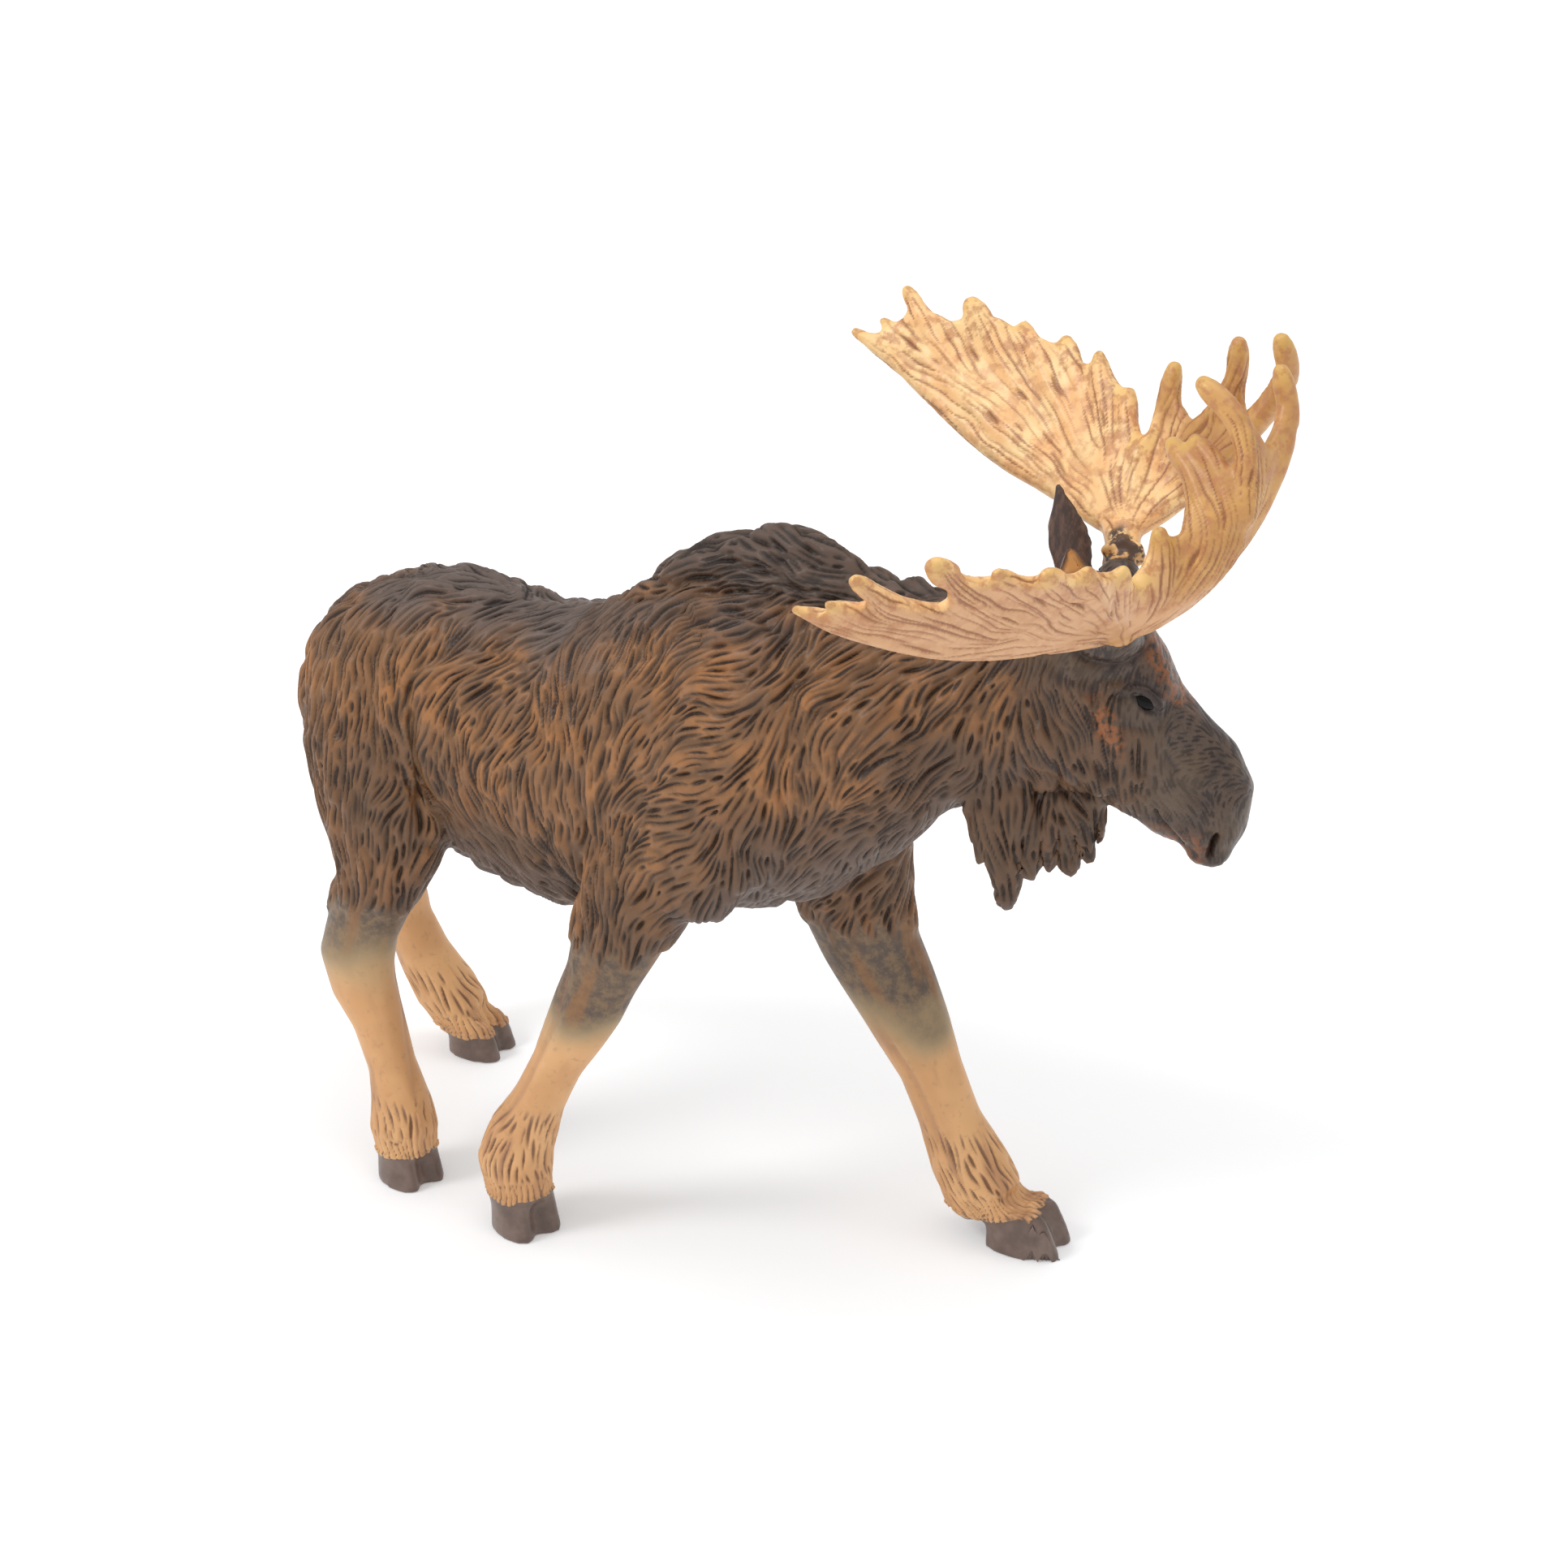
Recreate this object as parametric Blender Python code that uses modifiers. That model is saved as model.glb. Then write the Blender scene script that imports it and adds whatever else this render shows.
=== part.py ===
"""A walking bull moose figure, moulded in painted plastic: body, head, four legs and two antlers.

The moose faces +X, its left side is +Y and it stands on Z = 0. Tables are in millimetres.
"""

import math

import bmesh
import bpy
from mathutils import Matrix, Vector

MM = 0.001

# Driving dimensions of the figure, in millimetres.
HUMP_HEIGHT = 107.5  # top of the shoulder mane
FIGURE_CENTRE = (3.44, -5.41)  # centre of the whole figure's box over the floor, in the tables' frame
SEAM_GAP = 0.3  # between two mouldings that are glued together
LEG_SEAM_HEIGHT = {"hind_right": 45.0, "hind_left": 45.0, "front_right": 44.5, "front_left": 46.0}
# The part of the floor that holds one leg only: low x, low y, high x, high y.
LEG_QUARTERS = {
    "front_right": (-34, -40, 14, 0),
    "front_left": (0, 2, 62, 40),
    "hind_right": (-66, -40, -34.5, 0),
    "hind_left": (-80, 2, -40, 40),
}
NECK_SEAM_POINT = (27.0, 2.0, 85.0)
NECK_SEAM_NORMAL = (0.93, 0.30, 0.10)

# The head's own frame: its origin lies midway between the antlers' burrs.
HEAD_ORIGIN = (56.6, 8.7, 105.6)
HEAD_TURN = 27.0  # degrees, to the moose's left

# How finely the shapes are fused, and how many triangles each moulding keeps.
SKIN_VOXEL = 0.8
ANTLER_VOXEL = 0.55
SKIN_SMOOTHING = 5
ANTLER_SMOOTHING = 3
SKIN_TRIANGLES = 5900
ANTLER_TRIANGLES = 1480
RING_POINTS = 16

# Trunk: x, top z, bottom z, half width.
TRUNK = [
    (-65.5, 73.0, 64.0, 3.5),
    (-63.5, 78.0, 57.0, 8.5),
    (-59.0, 82.6, 52.0, 12.0),
    (-52.0, 86.4, 50.2, 14.5),
    (-43.0, 88.7, 49.6, 15.0),
    (-35.0, 88.3, 46.8, 15.0),
    (-28.0, 87.2, 45.4, 16.0),
    (-20.0, 88.6, 44.8, 16.8),
    (-10.0, 92.4, 46.0, 16.8),
    (0.0, 97.0, 49.4, 16.0),
    (10.0, 100.5, 52.5, 14.8),
    (20.0, 100.0, 57.0, 13.5),
    (29.0, 97.5, 65.0, 11.5),
    (34.0, 93.0, 70.5, 8.5),
    (37.0, 88.0, 76.0, 4.0),
]
# Mane along the hump and the neck: x, y, crest z, half width, depth below the crest.
MANE = [
    (-16.0, 0.0, 90.4, 1.6, 6.0),
    (-10.0, 0.0, 94.8, 2.2, 9.0),
    (-4.5, 0.0, 100.4, 2.8, 12.0),
    (0.0, 0.0, 103.0, 3.4, 14.0),
    (6.0, 0.0, 105.2, 3.6, 15.0),
    (12.0, 0.0, HUMP_HEIGHT, 3.8, 17.0),
    (16.0, 0.0, 107.4, 3.8, 18.0),
    (21.0, 0.3, 105.0, 3.8, 18.0),
    (26.0, 1.0, 103.0, 4.0, 18.0),
    (34.0, 2.6, 102.6, 4.2, 18.0),
    (42.0, 4.8, 103.0, 4.4, 16.0),
    (48.0, 6.6, 102.5, 4.0, 12.0),
]
# Limbs: x, y, z, half depth (fore and aft), half width (sideways).
SHOULDER = [
    (13.0, 7.0, 96.0, 6.0, 3.0),
    (12.0, 9.5, 88.0, 10.5, 5.5),
    (9.0, 11.0, 76.0, 11.6, 6.8),
    (4.5, 11.5, 65.0, 10.6, 6.8),
    (1.0, 12.0, 58.0, 8.4, 6.0),
]
FRONT_RIGHT = [
    (1.4, -12.0, 64.0, 9.0, 5.5),
    (-3.2, -13.5, 56.0, 7.8, 5.6),
    (-6.2, -14.8, 48.0, 6.3, 5.0),
    (-8.2, -15.5, 42.1, 5.2, 4.6),
    (-10.0, -15.9, 37.8, 5.1, 4.6),
    (-12.0, -16.3, 33.5, 4.6, 4.2),
    (-15.0, -16.8, 27.4, 3.7, 3.4),
    (-17.8, -17.3, 21.2, 3.8, 3.5),
    (-20.6, -17.8, 15.0, 4.9, 4.3),
    (-21.7, -18.1, 10.8, 5.5, 4.8),
    (-21.2, -18.2, 6.8, 5.0, 4.5),
    (-20.6, -18.2, 4.6, 4.5, 4.2),
]
FRONT_LEFT = [
    (14.0, 8.5, 75.0, 10.5, 5.5),
    (14.5, 10.0, 66.0, 11.2, 6.0),
    (13.6, 11.5, 56.0, 10.4, 6.4),
    (15.4, 12.6, 48.0, 8.6, 6.0),
    (17.8, 13.2, 41.1, 7.6, 5.4),
    (21.0, 13.7, 35.5, 6.9, 5.0),
    (23.8, 14.0, 30.2, 6.0, 4.6),
    (26.7, 14.4, 24.1, 4.8, 3.9),
    (29.6, 14.8, 16.9, 4.6, 3.9),
    (32.4, 15.1, 11.2, 5.6, 4.6),
    (34.4, 15.2, 7.5, 6.0, 4.9),
    (37.0, 15.2, 5.0, 5.2, 4.5),
]
HIND_RIGHT = [
    (-50.6, -7.5, 74.0, 9.6, 6.0),
    (-49.0, -9.8, 66.0, 12.2, 6.8),
    (-46.8, -11.8, 58.0, 11.4, 6.4),
    (-45.8, -13.4, 51.0, 8.6, 5.4),
    (-46.8, -14.6, 45.0, 6.0, 4.6),
    (-49.0, -15.2, 39.2, 5.5, 4.2),
    (-50.2, -15.5, 34.0, 5.9, 4.3),
    (-49.0, -15.7, 29.3, 5.2, 4.1),
    (-46.6, -15.8, 24.5, 4.0, 3.6),
    (-44.5, -15.9, 17.9, 3.6, 3.3),
    (-43.0, -16.0, 12.2, 4.6, 4.0),
    (-42.8, -16.0, 8.4, 5.2, 4.4),
    (-42.4, -16.0, 5.0, 4.6, 4.1),
]
HIND_LEFT = [
    (-51.0, 7.5, 74.0, 9.0, 6.0),
    (-49.5, 9.8, 66.0, 11.5, 6.8),
    (-50.0, 11.0, 58.0, 10.2, 6.4),
    (-55.0, 12.0, 51.0, 8.0, 5.4),
    (-61.0, 13.0, 45.0, 5.8, 4.6),
    (-65.2, 14.2, 39.2, 5.2, 4.2),
    (-67.1, 15.4, 34.0, 5.2, 4.1),
    (-67.3, 16.4, 27.9, 4.4, 3.7),
    (-66.4, 17.4, 21.2, 4.0, 3.4),
    (-64.2, 18.4, 14.6, 4.4, 3.8),
    (-61.0, 19.2, 9.3, 5.0, 4.4),
    (-58.2, 19.6, 5.4, 4.8, 4.2),
]
# Hooves: middle of the sole x, y, the direction that it points in degrees, length, width, height.
HOOVES = {
    "front_right": (-20.4, -18.2, -18.0, 9.6, 8.6, 6.2),
    "front_left": (41.8, 15.3, 8.0, 12.8, 8.8, 6.4),
    "hind_right": (-42.2, -16.0, -14.0, 9.4, 8.2, 6.0),
    "hind_left": (-55.4, 19.8, 6.0, 10.2, 8.4, 5.8),
}
TAIL = [
    (-62.0, 0.0, 73.0, 2.2, 3.0),
    (-65.6, 0.0, 70.0, 2.2, 2.8),
    (-67.2, 0.0, 65.5, 1.8, 2.2),
    (-67.0, 0.0, 61.5, 1.0, 1.2),
]
# Neck: x, y, z, half height, half width.
NECK = [
    (18.0, 0.0, 81.0, 17.5, 12.0),
    (26.0, 1.2, 84.0, 15.4, 11.0),
    (34.0, 3.4, 86.2, 14.2, 9.6),
    (42.0, 6.0, 87.4, 13.6, 8.8),
    (48.5, 8.0, 89.4, 12.2, 8.4),
    (53.0, 9.2, 91.0, 9.4, 7.0),
]

# Tables in the head's frame: forward, up, then sizes. Head: forward, up, half height, half width.
SKULL = [
    (-10.0, -5.0, 6.5, 5.5),
    (-5.5, -8.4, 9.5, 7.4),
    (-1.0, -14.6, 9.0, 8.2),
    (2.4, -19.0, 8.2, 7.2),
    (6.2, -22.6, 7.6, 6.0),
    (9.6, -26.2, 7.8, 5.6),
    (11.8, -29.6, 6.9, 6.0),
    (12.6, -33.0, 4.8, 5.8),
    (12.7, -36.4, 2.6, 4.0),
]
LOWER_JAW = [
    (-10.0, -17.0, 6.0, 6.6),
    (-6.0, -20.4, 5.4, 6.6),
    (-1.5, -23.8, 4.2, 5.6),
    (3.0, -27.9, 2.8, 4.4),
    (6.4, -31.6, 2.2, 3.8),
    (8.2, -33.4, 1.6, 2.8),
]
# Beard locks: root forward, root up, tip forward, tip up, half thickness at the root.
BEARD = [
    (-17.0, -27.0, -17.4, -38.0, 2.2),
    (-15.0, -27.0, -13.6, -45.6, 3.0),
    (-11.8, -26.5, -10.6, -42.4, 2.8),
    (-8.8, -26.0, -7.6, -41.0, 2.6),
    (-5.8, -26.0, -4.2, -40.8, 2.4),
    (-3.4, -26.0, -2.2, -38.0, 2.0),
]
# Ears: forward, up, sideways, half width, half thickness.
EAR_RIGHT = [
    (-6.0, -5.0, 5.2, 2.0, 1.8),
    (-6.4, -1.8, 7.0, 2.3, 1.6),
    (-6.2, 2.4, 9.0, 2.7, 1.2),
    (-6.0, 6.6, 10.6, 2.4, 1.0),
    (-6.4, 9.8, 11.8, 1.2, 0.8),
    (-6.8, 11.2, 12.2, 0.6, 0.6),
]
EAR_LEFT = [
    (-6.0, -5.0, 5.0, 2.0, 1.8),
    (-6.4, -1.8, 6.6, 2.3, 1.6),
    (-6.6, 2.0, 7.8, 2.6, 1.2),
    (-7.4, 6.2, 8.8, 2.2, 1.0),
    (-8.5, 9.4, 9.6, 1.1, 0.8),
    (-9.0, 10.9, 10.0, 0.6, 0.6),
]
PEDICLE_END = 9.0  # sideways from the head's middle
BURR_START = 9.6

# Antler ribs, from the hub to a tine's tip: forward, up, sideways. They run round the palm in order.
HUB = (-0.3, 2.0, 16.0)
MAIN_RIBS = [
    [(-4.0, 2.4, 19.8), (-9.4, 3.8, 25.4), (-15.2, 5.0, 30.4), (-21.0, 7.2, 35.8),
     (-26.6, 10.4, 41.0), (-32.0, 13.8, 45.2), (-38.2, 16.8, 47.5)],
    [(-4.0, 3.0, 20.2), (-9.4, 4.8, 26.2), (-15.4, 7.2, 32.0), (-21.6, 10.4, 38.0),
     (-27.4, 14.0, 43.6), (-34.3, 18.2, 48.6)],
    [(-3.9, 3.4, 20.5), (-9.5, 5.6, 26.8), (-15.5, 8.6, 33.0), (-21.6, 12.6, 39.4),
     (-26.6, 17.2, 45.0), (-31.0, 22.5, 49.4)],
    [(-3.4, 4.0, 21.0), (-7.8, 7.2, 28.0), (-12.8, 11.4, 34.6), (-17.6, 16.4, 40.4), (-22.0, 22.2, 45.0)],
    [(-2.6, 4.6, 20.9), (-5.9, 8.6, 27.9), (-9.9, 13.6, 34.4), (-14.8, 20.6, 42.0)],
    [(-1.8, 5.0, 20.6), (-3.8, 9.2, 26.9), (-6.2, 13.8, 32.8), (-9.0, 19.3, 39.4)],
    [(-1.0, 5.2, 20.2), (-1.9, 9.2, 25.2), (-2.9, 13.6, 29.8), (-4.4, 19.6, 34.4)],
    [(-0.4, 5.0, 19.8), (-0.4, 8.8, 23.6), (-0.2, 12.4, 26.4), (0.0, 16.5, 29.0)],
    [(0.4, 4.6, 19.2), (1.0, 7.0, 20.8), (1.5, 9.4, 22.0), (2.0, 11.6, 23.0)],
]
BROW_RIBS_RIGHT = [
    [(1.4, 4.4, 18.6), (3.2, 7.6, 20.4), (4.6, 11.2, 21.0), (4.2, 17.2, 20.0)],
    [(2.6, 4.4, 18.0), (7.0, 8.6, 19.6), (10.4, 14.6, 18.6), (8.6, 20.4, 14.0), (5.1, 24.0, 8.5)],
    [(3.2, 4.2, 17.4), (8.6, 9.0, 18.8), (12.6, 16.2, 18.0), (11.6, 21.6, 14.6), (7.7, 25.1, 10.2)],
    [(3.8, 3.8, 16.8), (10.2, 9.6, 17.6), (14.4, 17.0, 17.4),
     (14.6, 23.6, 15.0), (13.2, 28.0, 12.0), (8.3, 31.9, 8.4)],
    [(4.2, 3.8, 16.2), (9.8, 8.6, 15.6), (14.3, 14.0, 13.8),
     (18.0, 20.0, 9.0), (19.6, 25.6, 4.6), (18.2, 32.2, 3.2)],
]
BROW_RIBS_LEFT = [
    [(1.4, 4.6, 18.8), (3.0, 8.0, 21.4), (4.2, 12.2, 23.8), (5.9, 21.4, 26.0)],
    [(3.0, 4.6, 18.2), (7.6, 9.4, 19.8), (11.6, 16.0, 18.6), (13.4, 22.6, 16.0), (13.6, 29.2, 14.0)],
    [(4.0, 3.8, 16.6), (10.0, 9.6, 16.4), (15.0, 16.2, 13.8),
     (18.6, 23.2, 9.0), (19.6, 28.2, 5.8), (18.3, 33.4, 4.0)],
]
# How far the rim reaches along the ribs midway between each rib and the next.
VALLEYS_RIGHT = [0.90, 0.80, 0.76, 0.90, 0.90, 0.92, 0.94, 0.94, 0.95, 0.72, 0.74, 0.62, 0.76]
# The main ribs of the right antler end this much lower than those of the left one.
RIM_DROP_RIGHT = [0.0, 0.2, 0.8, 0.2, 0.7, 0.6, 2.2, 1.2, 0.4]
VALLEYS_LEFT = [0.95, 0.94, 0.91, 0.97, 0.94, 0.90, 0.95, 0.96, 0.95, 0.62, 0.62]
PALM_THICKNESS = 1.9

# Paint: base colour, roughness.
PAINT = {
    "fur_paint": ((0.20, 0.115, 0.060), 0.62),
    "leg_paint": ((0.52, 0.34, 0.18), 0.55),
    "antler_paint": ((0.80, 0.53, 0.28), 0.45),
}


def head_point(forward, up, side):
    """A point of the head's frame in the tables' frame; side is positive to the moose's left."""
    turn = math.radians(HEAD_TURN)
    ahead = Vector((math.cos(turn), math.sin(turn), 0))
    leftward = Vector((-math.sin(turn), math.cos(turn), 0))
    return Vector(HEAD_ORIGIN) + forward * ahead + side * leftward + Vector((0, 0, up))


def head_axis(forward, up, side):
    """A direction of the head's frame in the tables' frame."""
    return (head_point(forward, up, side) - head_point(0, 0, 0)).normalized()


def placed(point):
    """A point of the tables in metres, with the figure centred over the origin."""
    return Vector((point[0] - FIGURE_CENTRE[0], point[1] - FIGURE_CENTRE[1], point[2])) * MM


def oval(centre, across, upward, half_across, half_upward, points=RING_POINTS):
    """A ring of points round the centre."""
    ring = []
    for i in range(points):
        angle = 2 * math.pi * i / points
        aside = across * (half_across * math.cos(angle))
        ring.append(centre + aside + upward * (half_upward * math.sin(angle)))
    return ring


def add_loft(mesh, rings):
    """Adds a closed skin through the rings to the mesh."""
    rows = [[mesh.verts.new(placed(p)) for p in ring] for ring in rings]
    count = len(rows[0])
    for low, high in zip(rows, rows[1:]):
        for i in range(count):
            j = (i + 1) % count
            mesh.faces.new((low[i], low[j], high[j], high[i]))
    mesh.faces.new(reversed(rows[0]))
    mesh.faces.new(rows[-1])


def tangents(centres):
    """The direction of a line of points at each of them."""
    last = len(centres) - 1
    return [(centres[min(i + 1, last)] - centres[max(i - 1, 0)]).normalized() for i in range(len(centres))]


def add_limb(mesh, centres, sizes, side):
    """Adds a limb along the centres; sizes holds half depths and half widths, and the width lies along side."""
    rings = []
    for centre, along, (half_depth, half_width) in zip(centres, tangents(centres), sizes):
        across = (side - side.dot(along) * along).normalized()
        depth = along.cross(across)
        rings.append(oval(centre, across, depth, half_width, half_depth))
    add_loft(mesh, rings)


def add_table_limb(mesh, table, mirror=1.0):
    """Adds a limb from rows of x, y, z, half depth, half width."""
    centres = [Vector((x, y * mirror, z)) for x, y, z, _, _ in table]
    add_limb(mesh, centres, [(depth, width) for _, _, _, depth, width in table], Vector((0, 1, 0)))


def add_trunk(mesh):
    rings = []
    for x, top, bottom, half_width in TRUNK:
        centre = Vector((x, 0, (top + bottom) / 2))
        rings.append(oval(centre, Vector((0, 1, 0)), Vector((0, 0, 1)), half_width, (top - bottom) / 2, 24))
    add_loft(mesh, rings)


def add_mane(mesh):
    rings = []
    for x, y, crest, half_width, depth in MANE:
        centre = Vector((x, y, crest - depth / 2))
        rings.append(oval(centre, Vector((0, 1, 0)), Vector((0, 0, 1)), half_width, depth / 2))
    add_loft(mesh, rings)


def add_neck(mesh):
    centres = [Vector((x, y, z)) for x, y, z, _, _ in NECK]
    rings = []
    for centre, along, row in zip(centres, tangents(centres), NECK):
        across = Vector((0, 0, 1)).cross(along).normalized()
        rings.append(oval(centre, across, Vector((0, 0, 1)), row[4], row[3]))
    add_loft(mesh, rings)


def add_hoof(mesh, name):
    """Two toes side by side, each a wedge whose sole reaches below the floor and is cut off flat there."""
    x, y, heading, length, width, height = HOOVES[name]
    turn = math.radians(heading)
    ahead = Vector((math.cos(turn), math.sin(turn), 0))
    leftward = Vector((-math.sin(turn), math.cos(turn), 0))
    middle = Vector((x, y, 0))
    rows = ((-2.0, 0.52, 0.26), (0.0, 0.50, 0.26), (0.5 * height, 0.42, 0.235), (height, 0.30, 0.21))
    for side in (-1, 1):
        toe = middle + leftward * (side * width * 0.27)
        rings = []
        for level, reach, half_width in rows:
            back = -0.40 * length
            front = reach * length
            centre = toe + ahead * ((front + back) / 2) + Vector((0, 0, level))
            rings.append(oval(centre, ahead, leftward, (front - back) / 2, half_width * width))
        add_loft(mesh, rings)


def add_skull(mesh):
    sideways = head_axis(0, 0, 1)
    for table in (SKULL, LOWER_JAW):
        centres = [head_point(forward, up, 0) for forward, up, _, _ in table]
        add_limb(mesh, centres, [(height, width) for _, _, height, width in table], sideways)


def add_beard(mesh):
    for root_forward, root_up, tip_forward, tip_up, thickness in BEARD:
        centres = []
        sizes = []
        for share, size in ((0.0, 1.0), (0.35, 1.0), (0.7, 0.72), (0.92, 0.42), (1.0, 0.2)):
            forward = root_forward + share * (tip_forward - root_forward)
            centres.append(head_point(forward, root_up + share * (tip_up - root_up), 0))
            sizes.append((thickness * size, thickness * size * 0.9))
        add_limb(mesh, centres, sizes, head_axis(0, 0, 1))


def add_ears(mesh):
    for table, side in ((EAR_RIGHT, -1), (EAR_LEFT, 1)):
        centres = [head_point(forward, up, side * out) for forward, up, out, _, _ in table]
        facing = head_axis(0.45, 0.0, side * 0.9)
        add_limb(mesh, centres, [(width, thickness) for _, _, _, width, thickness in table], facing)


def add_pedicles(mesh):
    for side in (-1, 1):
        bend = [(-1.2, -5.5, 4.0), (-0.7, -2.6, 6.2), (-0.2, -1.2, 7.8), (0.0, -0.8, PEDICLE_END)]
        centres = [head_point(forward, up, side * out) for forward, up, out in bend]
        add_limb(mesh, centres, [(4.0, 4.0), (3.3, 3.3), (2.7, 2.7), (2.6, 2.6)], head_axis(1, 0, 0))


def add_rib(mesh, points, radii):
    """Adds a round tine or beam along the points."""
    add_limb(mesh, points, [(r, r) for r in radii], head_axis(0.3, 1.0, 0.1))


def spread(points, count):
    """The same line as count points spaced evenly along it, through a smooth curve."""
    ends = [points[0] * 2 - points[1], *points, points[-1] * 2 - points[-2]]
    dense = []
    for i in range(1, len(ends) - 2):
        for step in range(8):
            t = step / 8
            a, b, c, d = ends[i - 1], ends[i], ends[i + 1], ends[i + 2]
            square = 2 * a - 5 * b + 4 * c - d
            cube = 3 * b - a - 3 * c + d
            dense.append(0.5 * (2 * b + (c - a) * t + square * t**2 + cube * t**3))
    dense.append(points[-1])
    lengths = [0.0]
    for low, high in zip(dense, dense[1:]):
        lengths.append(lengths[-1] + (high - low).length)
    placed_points = []
    at = 0
    for i in range(count):
        wanted = lengths[-1] * i / (count - 1)
        while at < len(dense) - 2 and lengths[at + 1] < wanted:
            at += 1
        share = (wanted - lengths[at]) / max(lengths[at + 1] - lengths[at], 1e-9)
        placed_points.append(dense[at].lerp(dense[at + 1], min(1.0, share)))
    return placed_points


def add_palm(mesh, ribs, valleys):
    """Adds a webbed sheet of even thickness over the ribs, whose rim dips at each valley."""
    steps = 12
    between = 4
    rows = []
    for index, (low, high) in enumerate(zip(ribs, ribs[1:])):
        low_points, high_points = spread(low, steps * 2), spread(high, steps * 2)
        for part in range(between + (index == len(ribs) - 2)):
            share = part / between
            reach = valleys[index] + (0.93 - valleys[index]) * abs(2 * share - 1) ** 1.6
            line = [a.lerp(b, share) for a, b in zip(low_points, high_points)]
            shortened = spread(line, 40)[: max(3, round(40 * reach))]
            rows.append(spread(shortened, steps))
    normals = []
    for i, row in enumerate(rows):
        normal_row = []
        for j in range(steps):
            sideways = rows[min(i + 1, len(rows) - 1)][j] - rows[max(i - 1, 0)][j]
            along = row[min(j + 1, steps - 1)] - row[max(j - 1, 0)]
            normal_row.append(sideways.cross(along).normalized())
        normals.append(normal_row)
    half = PALM_THICKNESS / 2
    sheets = []
    for offset in (half, -half):
        sheet = []
        for row, normal_row in zip(rows, normals):
            sheet.append([mesh.verts.new(placed(p + n * offset)) for p, n in zip(row, normal_row)])
        sheets.append(sheet)
    front, back = sheets
    for i in range(len(rows) - 1):
        for j in range(steps - 1):
            mesh.faces.new((front[i][j], front[i][j + 1], front[i + 1][j + 1], front[i + 1][j]))
            mesh.faces.new((back[i][j], back[i + 1][j], back[i + 1][j + 1], back[i][j + 1]))
        for j, turned in ((0, False), (steps - 1, True)):
            edge = (front[i][j], front[i + 1][j], back[i + 1][j], back[i][j])
            mesh.faces.new(tuple(reversed(edge)) if turned else edge)
    for i, turned in ((0, True), (len(rows) - 1, False)):
        for j in range(steps - 1):
            edge = (front[i][j], front[i][j + 1], back[i][j + 1], back[i][j])
            mesh.faces.new(tuple(reversed(edge)) if turned else edge)


def antler_ribs(table, side):
    """The ribs of an antler as lines of points that start at its hub."""
    ribs = []
    for index, rib in enumerate(table):
        drop = RIM_DROP_RIGHT[index] if side < 0 and index < len(RIM_DROP_RIGHT) else 0.0
        points = [head_point(HUB[0], HUB[1], side * HUB[2])]
        for step, (forward, up, out) in enumerate(rib):
            lowered = up - drop * (step + 1) / len(rib)
            points.append(head_point(forward, lowered, side * out))
        ribs.append(points)
    return ribs


def add_antler(mesh, side, brow_ribs, valleys):
    """Adds the short beam, its knobbly burr, the palm and the ribs that end in the tines."""
    beam = [(0.0, 0.0, BURR_START), (0.0, 0.4, 12.6), HUB]
    burr = [(0.0, 0.0, BURR_START), (0.0, 0.1, 10.6), (0.0, 0.3, 11.8)]
    for line, radii in ((beam, (2.3, 2.3, 2.7)), (burr, (2.7, 3.1, 2.4))):
        add_rib(mesh, [head_point(forward, up, side * out) for forward, up, out in line], radii)
    ribs = antler_ribs(MAIN_RIBS + brow_ribs, side)
    add_palm(mesh, ribs, valleys)
    for rib in ribs:
        points = spread(rib, 14)
        radii = []
        for i in range(len(points)):
            share = i / (len(points) - 1)
            taper = 1.9 - 0.35 * min(1.0, share * 1.4)
            if share >= 0.85:
                taper *= math.sqrt(max(0.12, 1 - ((share - 0.85) / 0.15) ** 2))
            radii.append(taper)
        add_rib(mesh, points, radii)


def fused(name, build, voxel, smoothing, triangles):
    """One closed mesh round all the shapes that build adds: fused on a fine grid, smoothed, then thinned."""
    shapes = bmesh.new()
    build(shapes)
    bmesh.ops.recalc_face_normals(shapes, faces=shapes.faces[:])
    mesh = bpy.data.meshes.new(name)
    shapes.to_mesh(mesh)
    shapes.free()
    rough = bpy.data.objects.new(name + "_shapes", mesh)
    bpy.context.scene.collection.objects.link(rough)
    remesh = rough.modifiers.new("Fuse", "REMESH")
    remesh.mode = "VOXEL"
    remesh.voxel_size = voxel * MM
    smooth = rough.modifiers.new("Blend", "SMOOTH")
    smooth.factor = 0.6
    smooth.iterations = smoothing
    rough.modifiers.new("Triangles", "TRIANGULATE")
    skin = evaluated(rough)
    thin = rough.modifiers.new("Thin", "DECIMATE")
    thin.ratio = triangles / len(skin.polygons)
    skin = evaluated(rough)
    bpy.data.objects.remove(rough)
    return skin


def evaluated(obj):
    """The object's mesh after its modifiers."""
    bpy.context.view_layer.update()
    graph = bpy.context.evaluated_depsgraph_get()
    return bpy.data.meshes.new_from_object(obj.evaluated_get(graph))


def box_cutter(name, low, high, turn=None):
    """A box between two corners of the tables' frame, or one that a matrix has turned."""
    low, high = Vector(low), Vector(high)
    mesh = bpy.data.meshes.new(name)
    shape = bmesh.new()
    size = (high - low) * MM
    bmesh.ops.create_cube(shape, size=1.0, matrix=Matrix.Diagonal((*size, 1.0)))
    shape.to_mesh(mesh)
    shape.free()
    cutter = bpy.data.objects.new(name, mesh)
    cutter.matrix_world = turn if turn else Matrix.Translation(placed((low + high) / 2))
    cutter.hide_render = True
    cutter.display_type = "WIRE"
    bpy.data.collections["Cutters"].objects.link(cutter)
    return cutter


def cut(obj, cutter, operation):
    boolean = obj.modifiers.new(operation.title() + "_" + cutter.name, "BOOLEAN")
    boolean.operation = operation
    boolean.object = cutter


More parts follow.
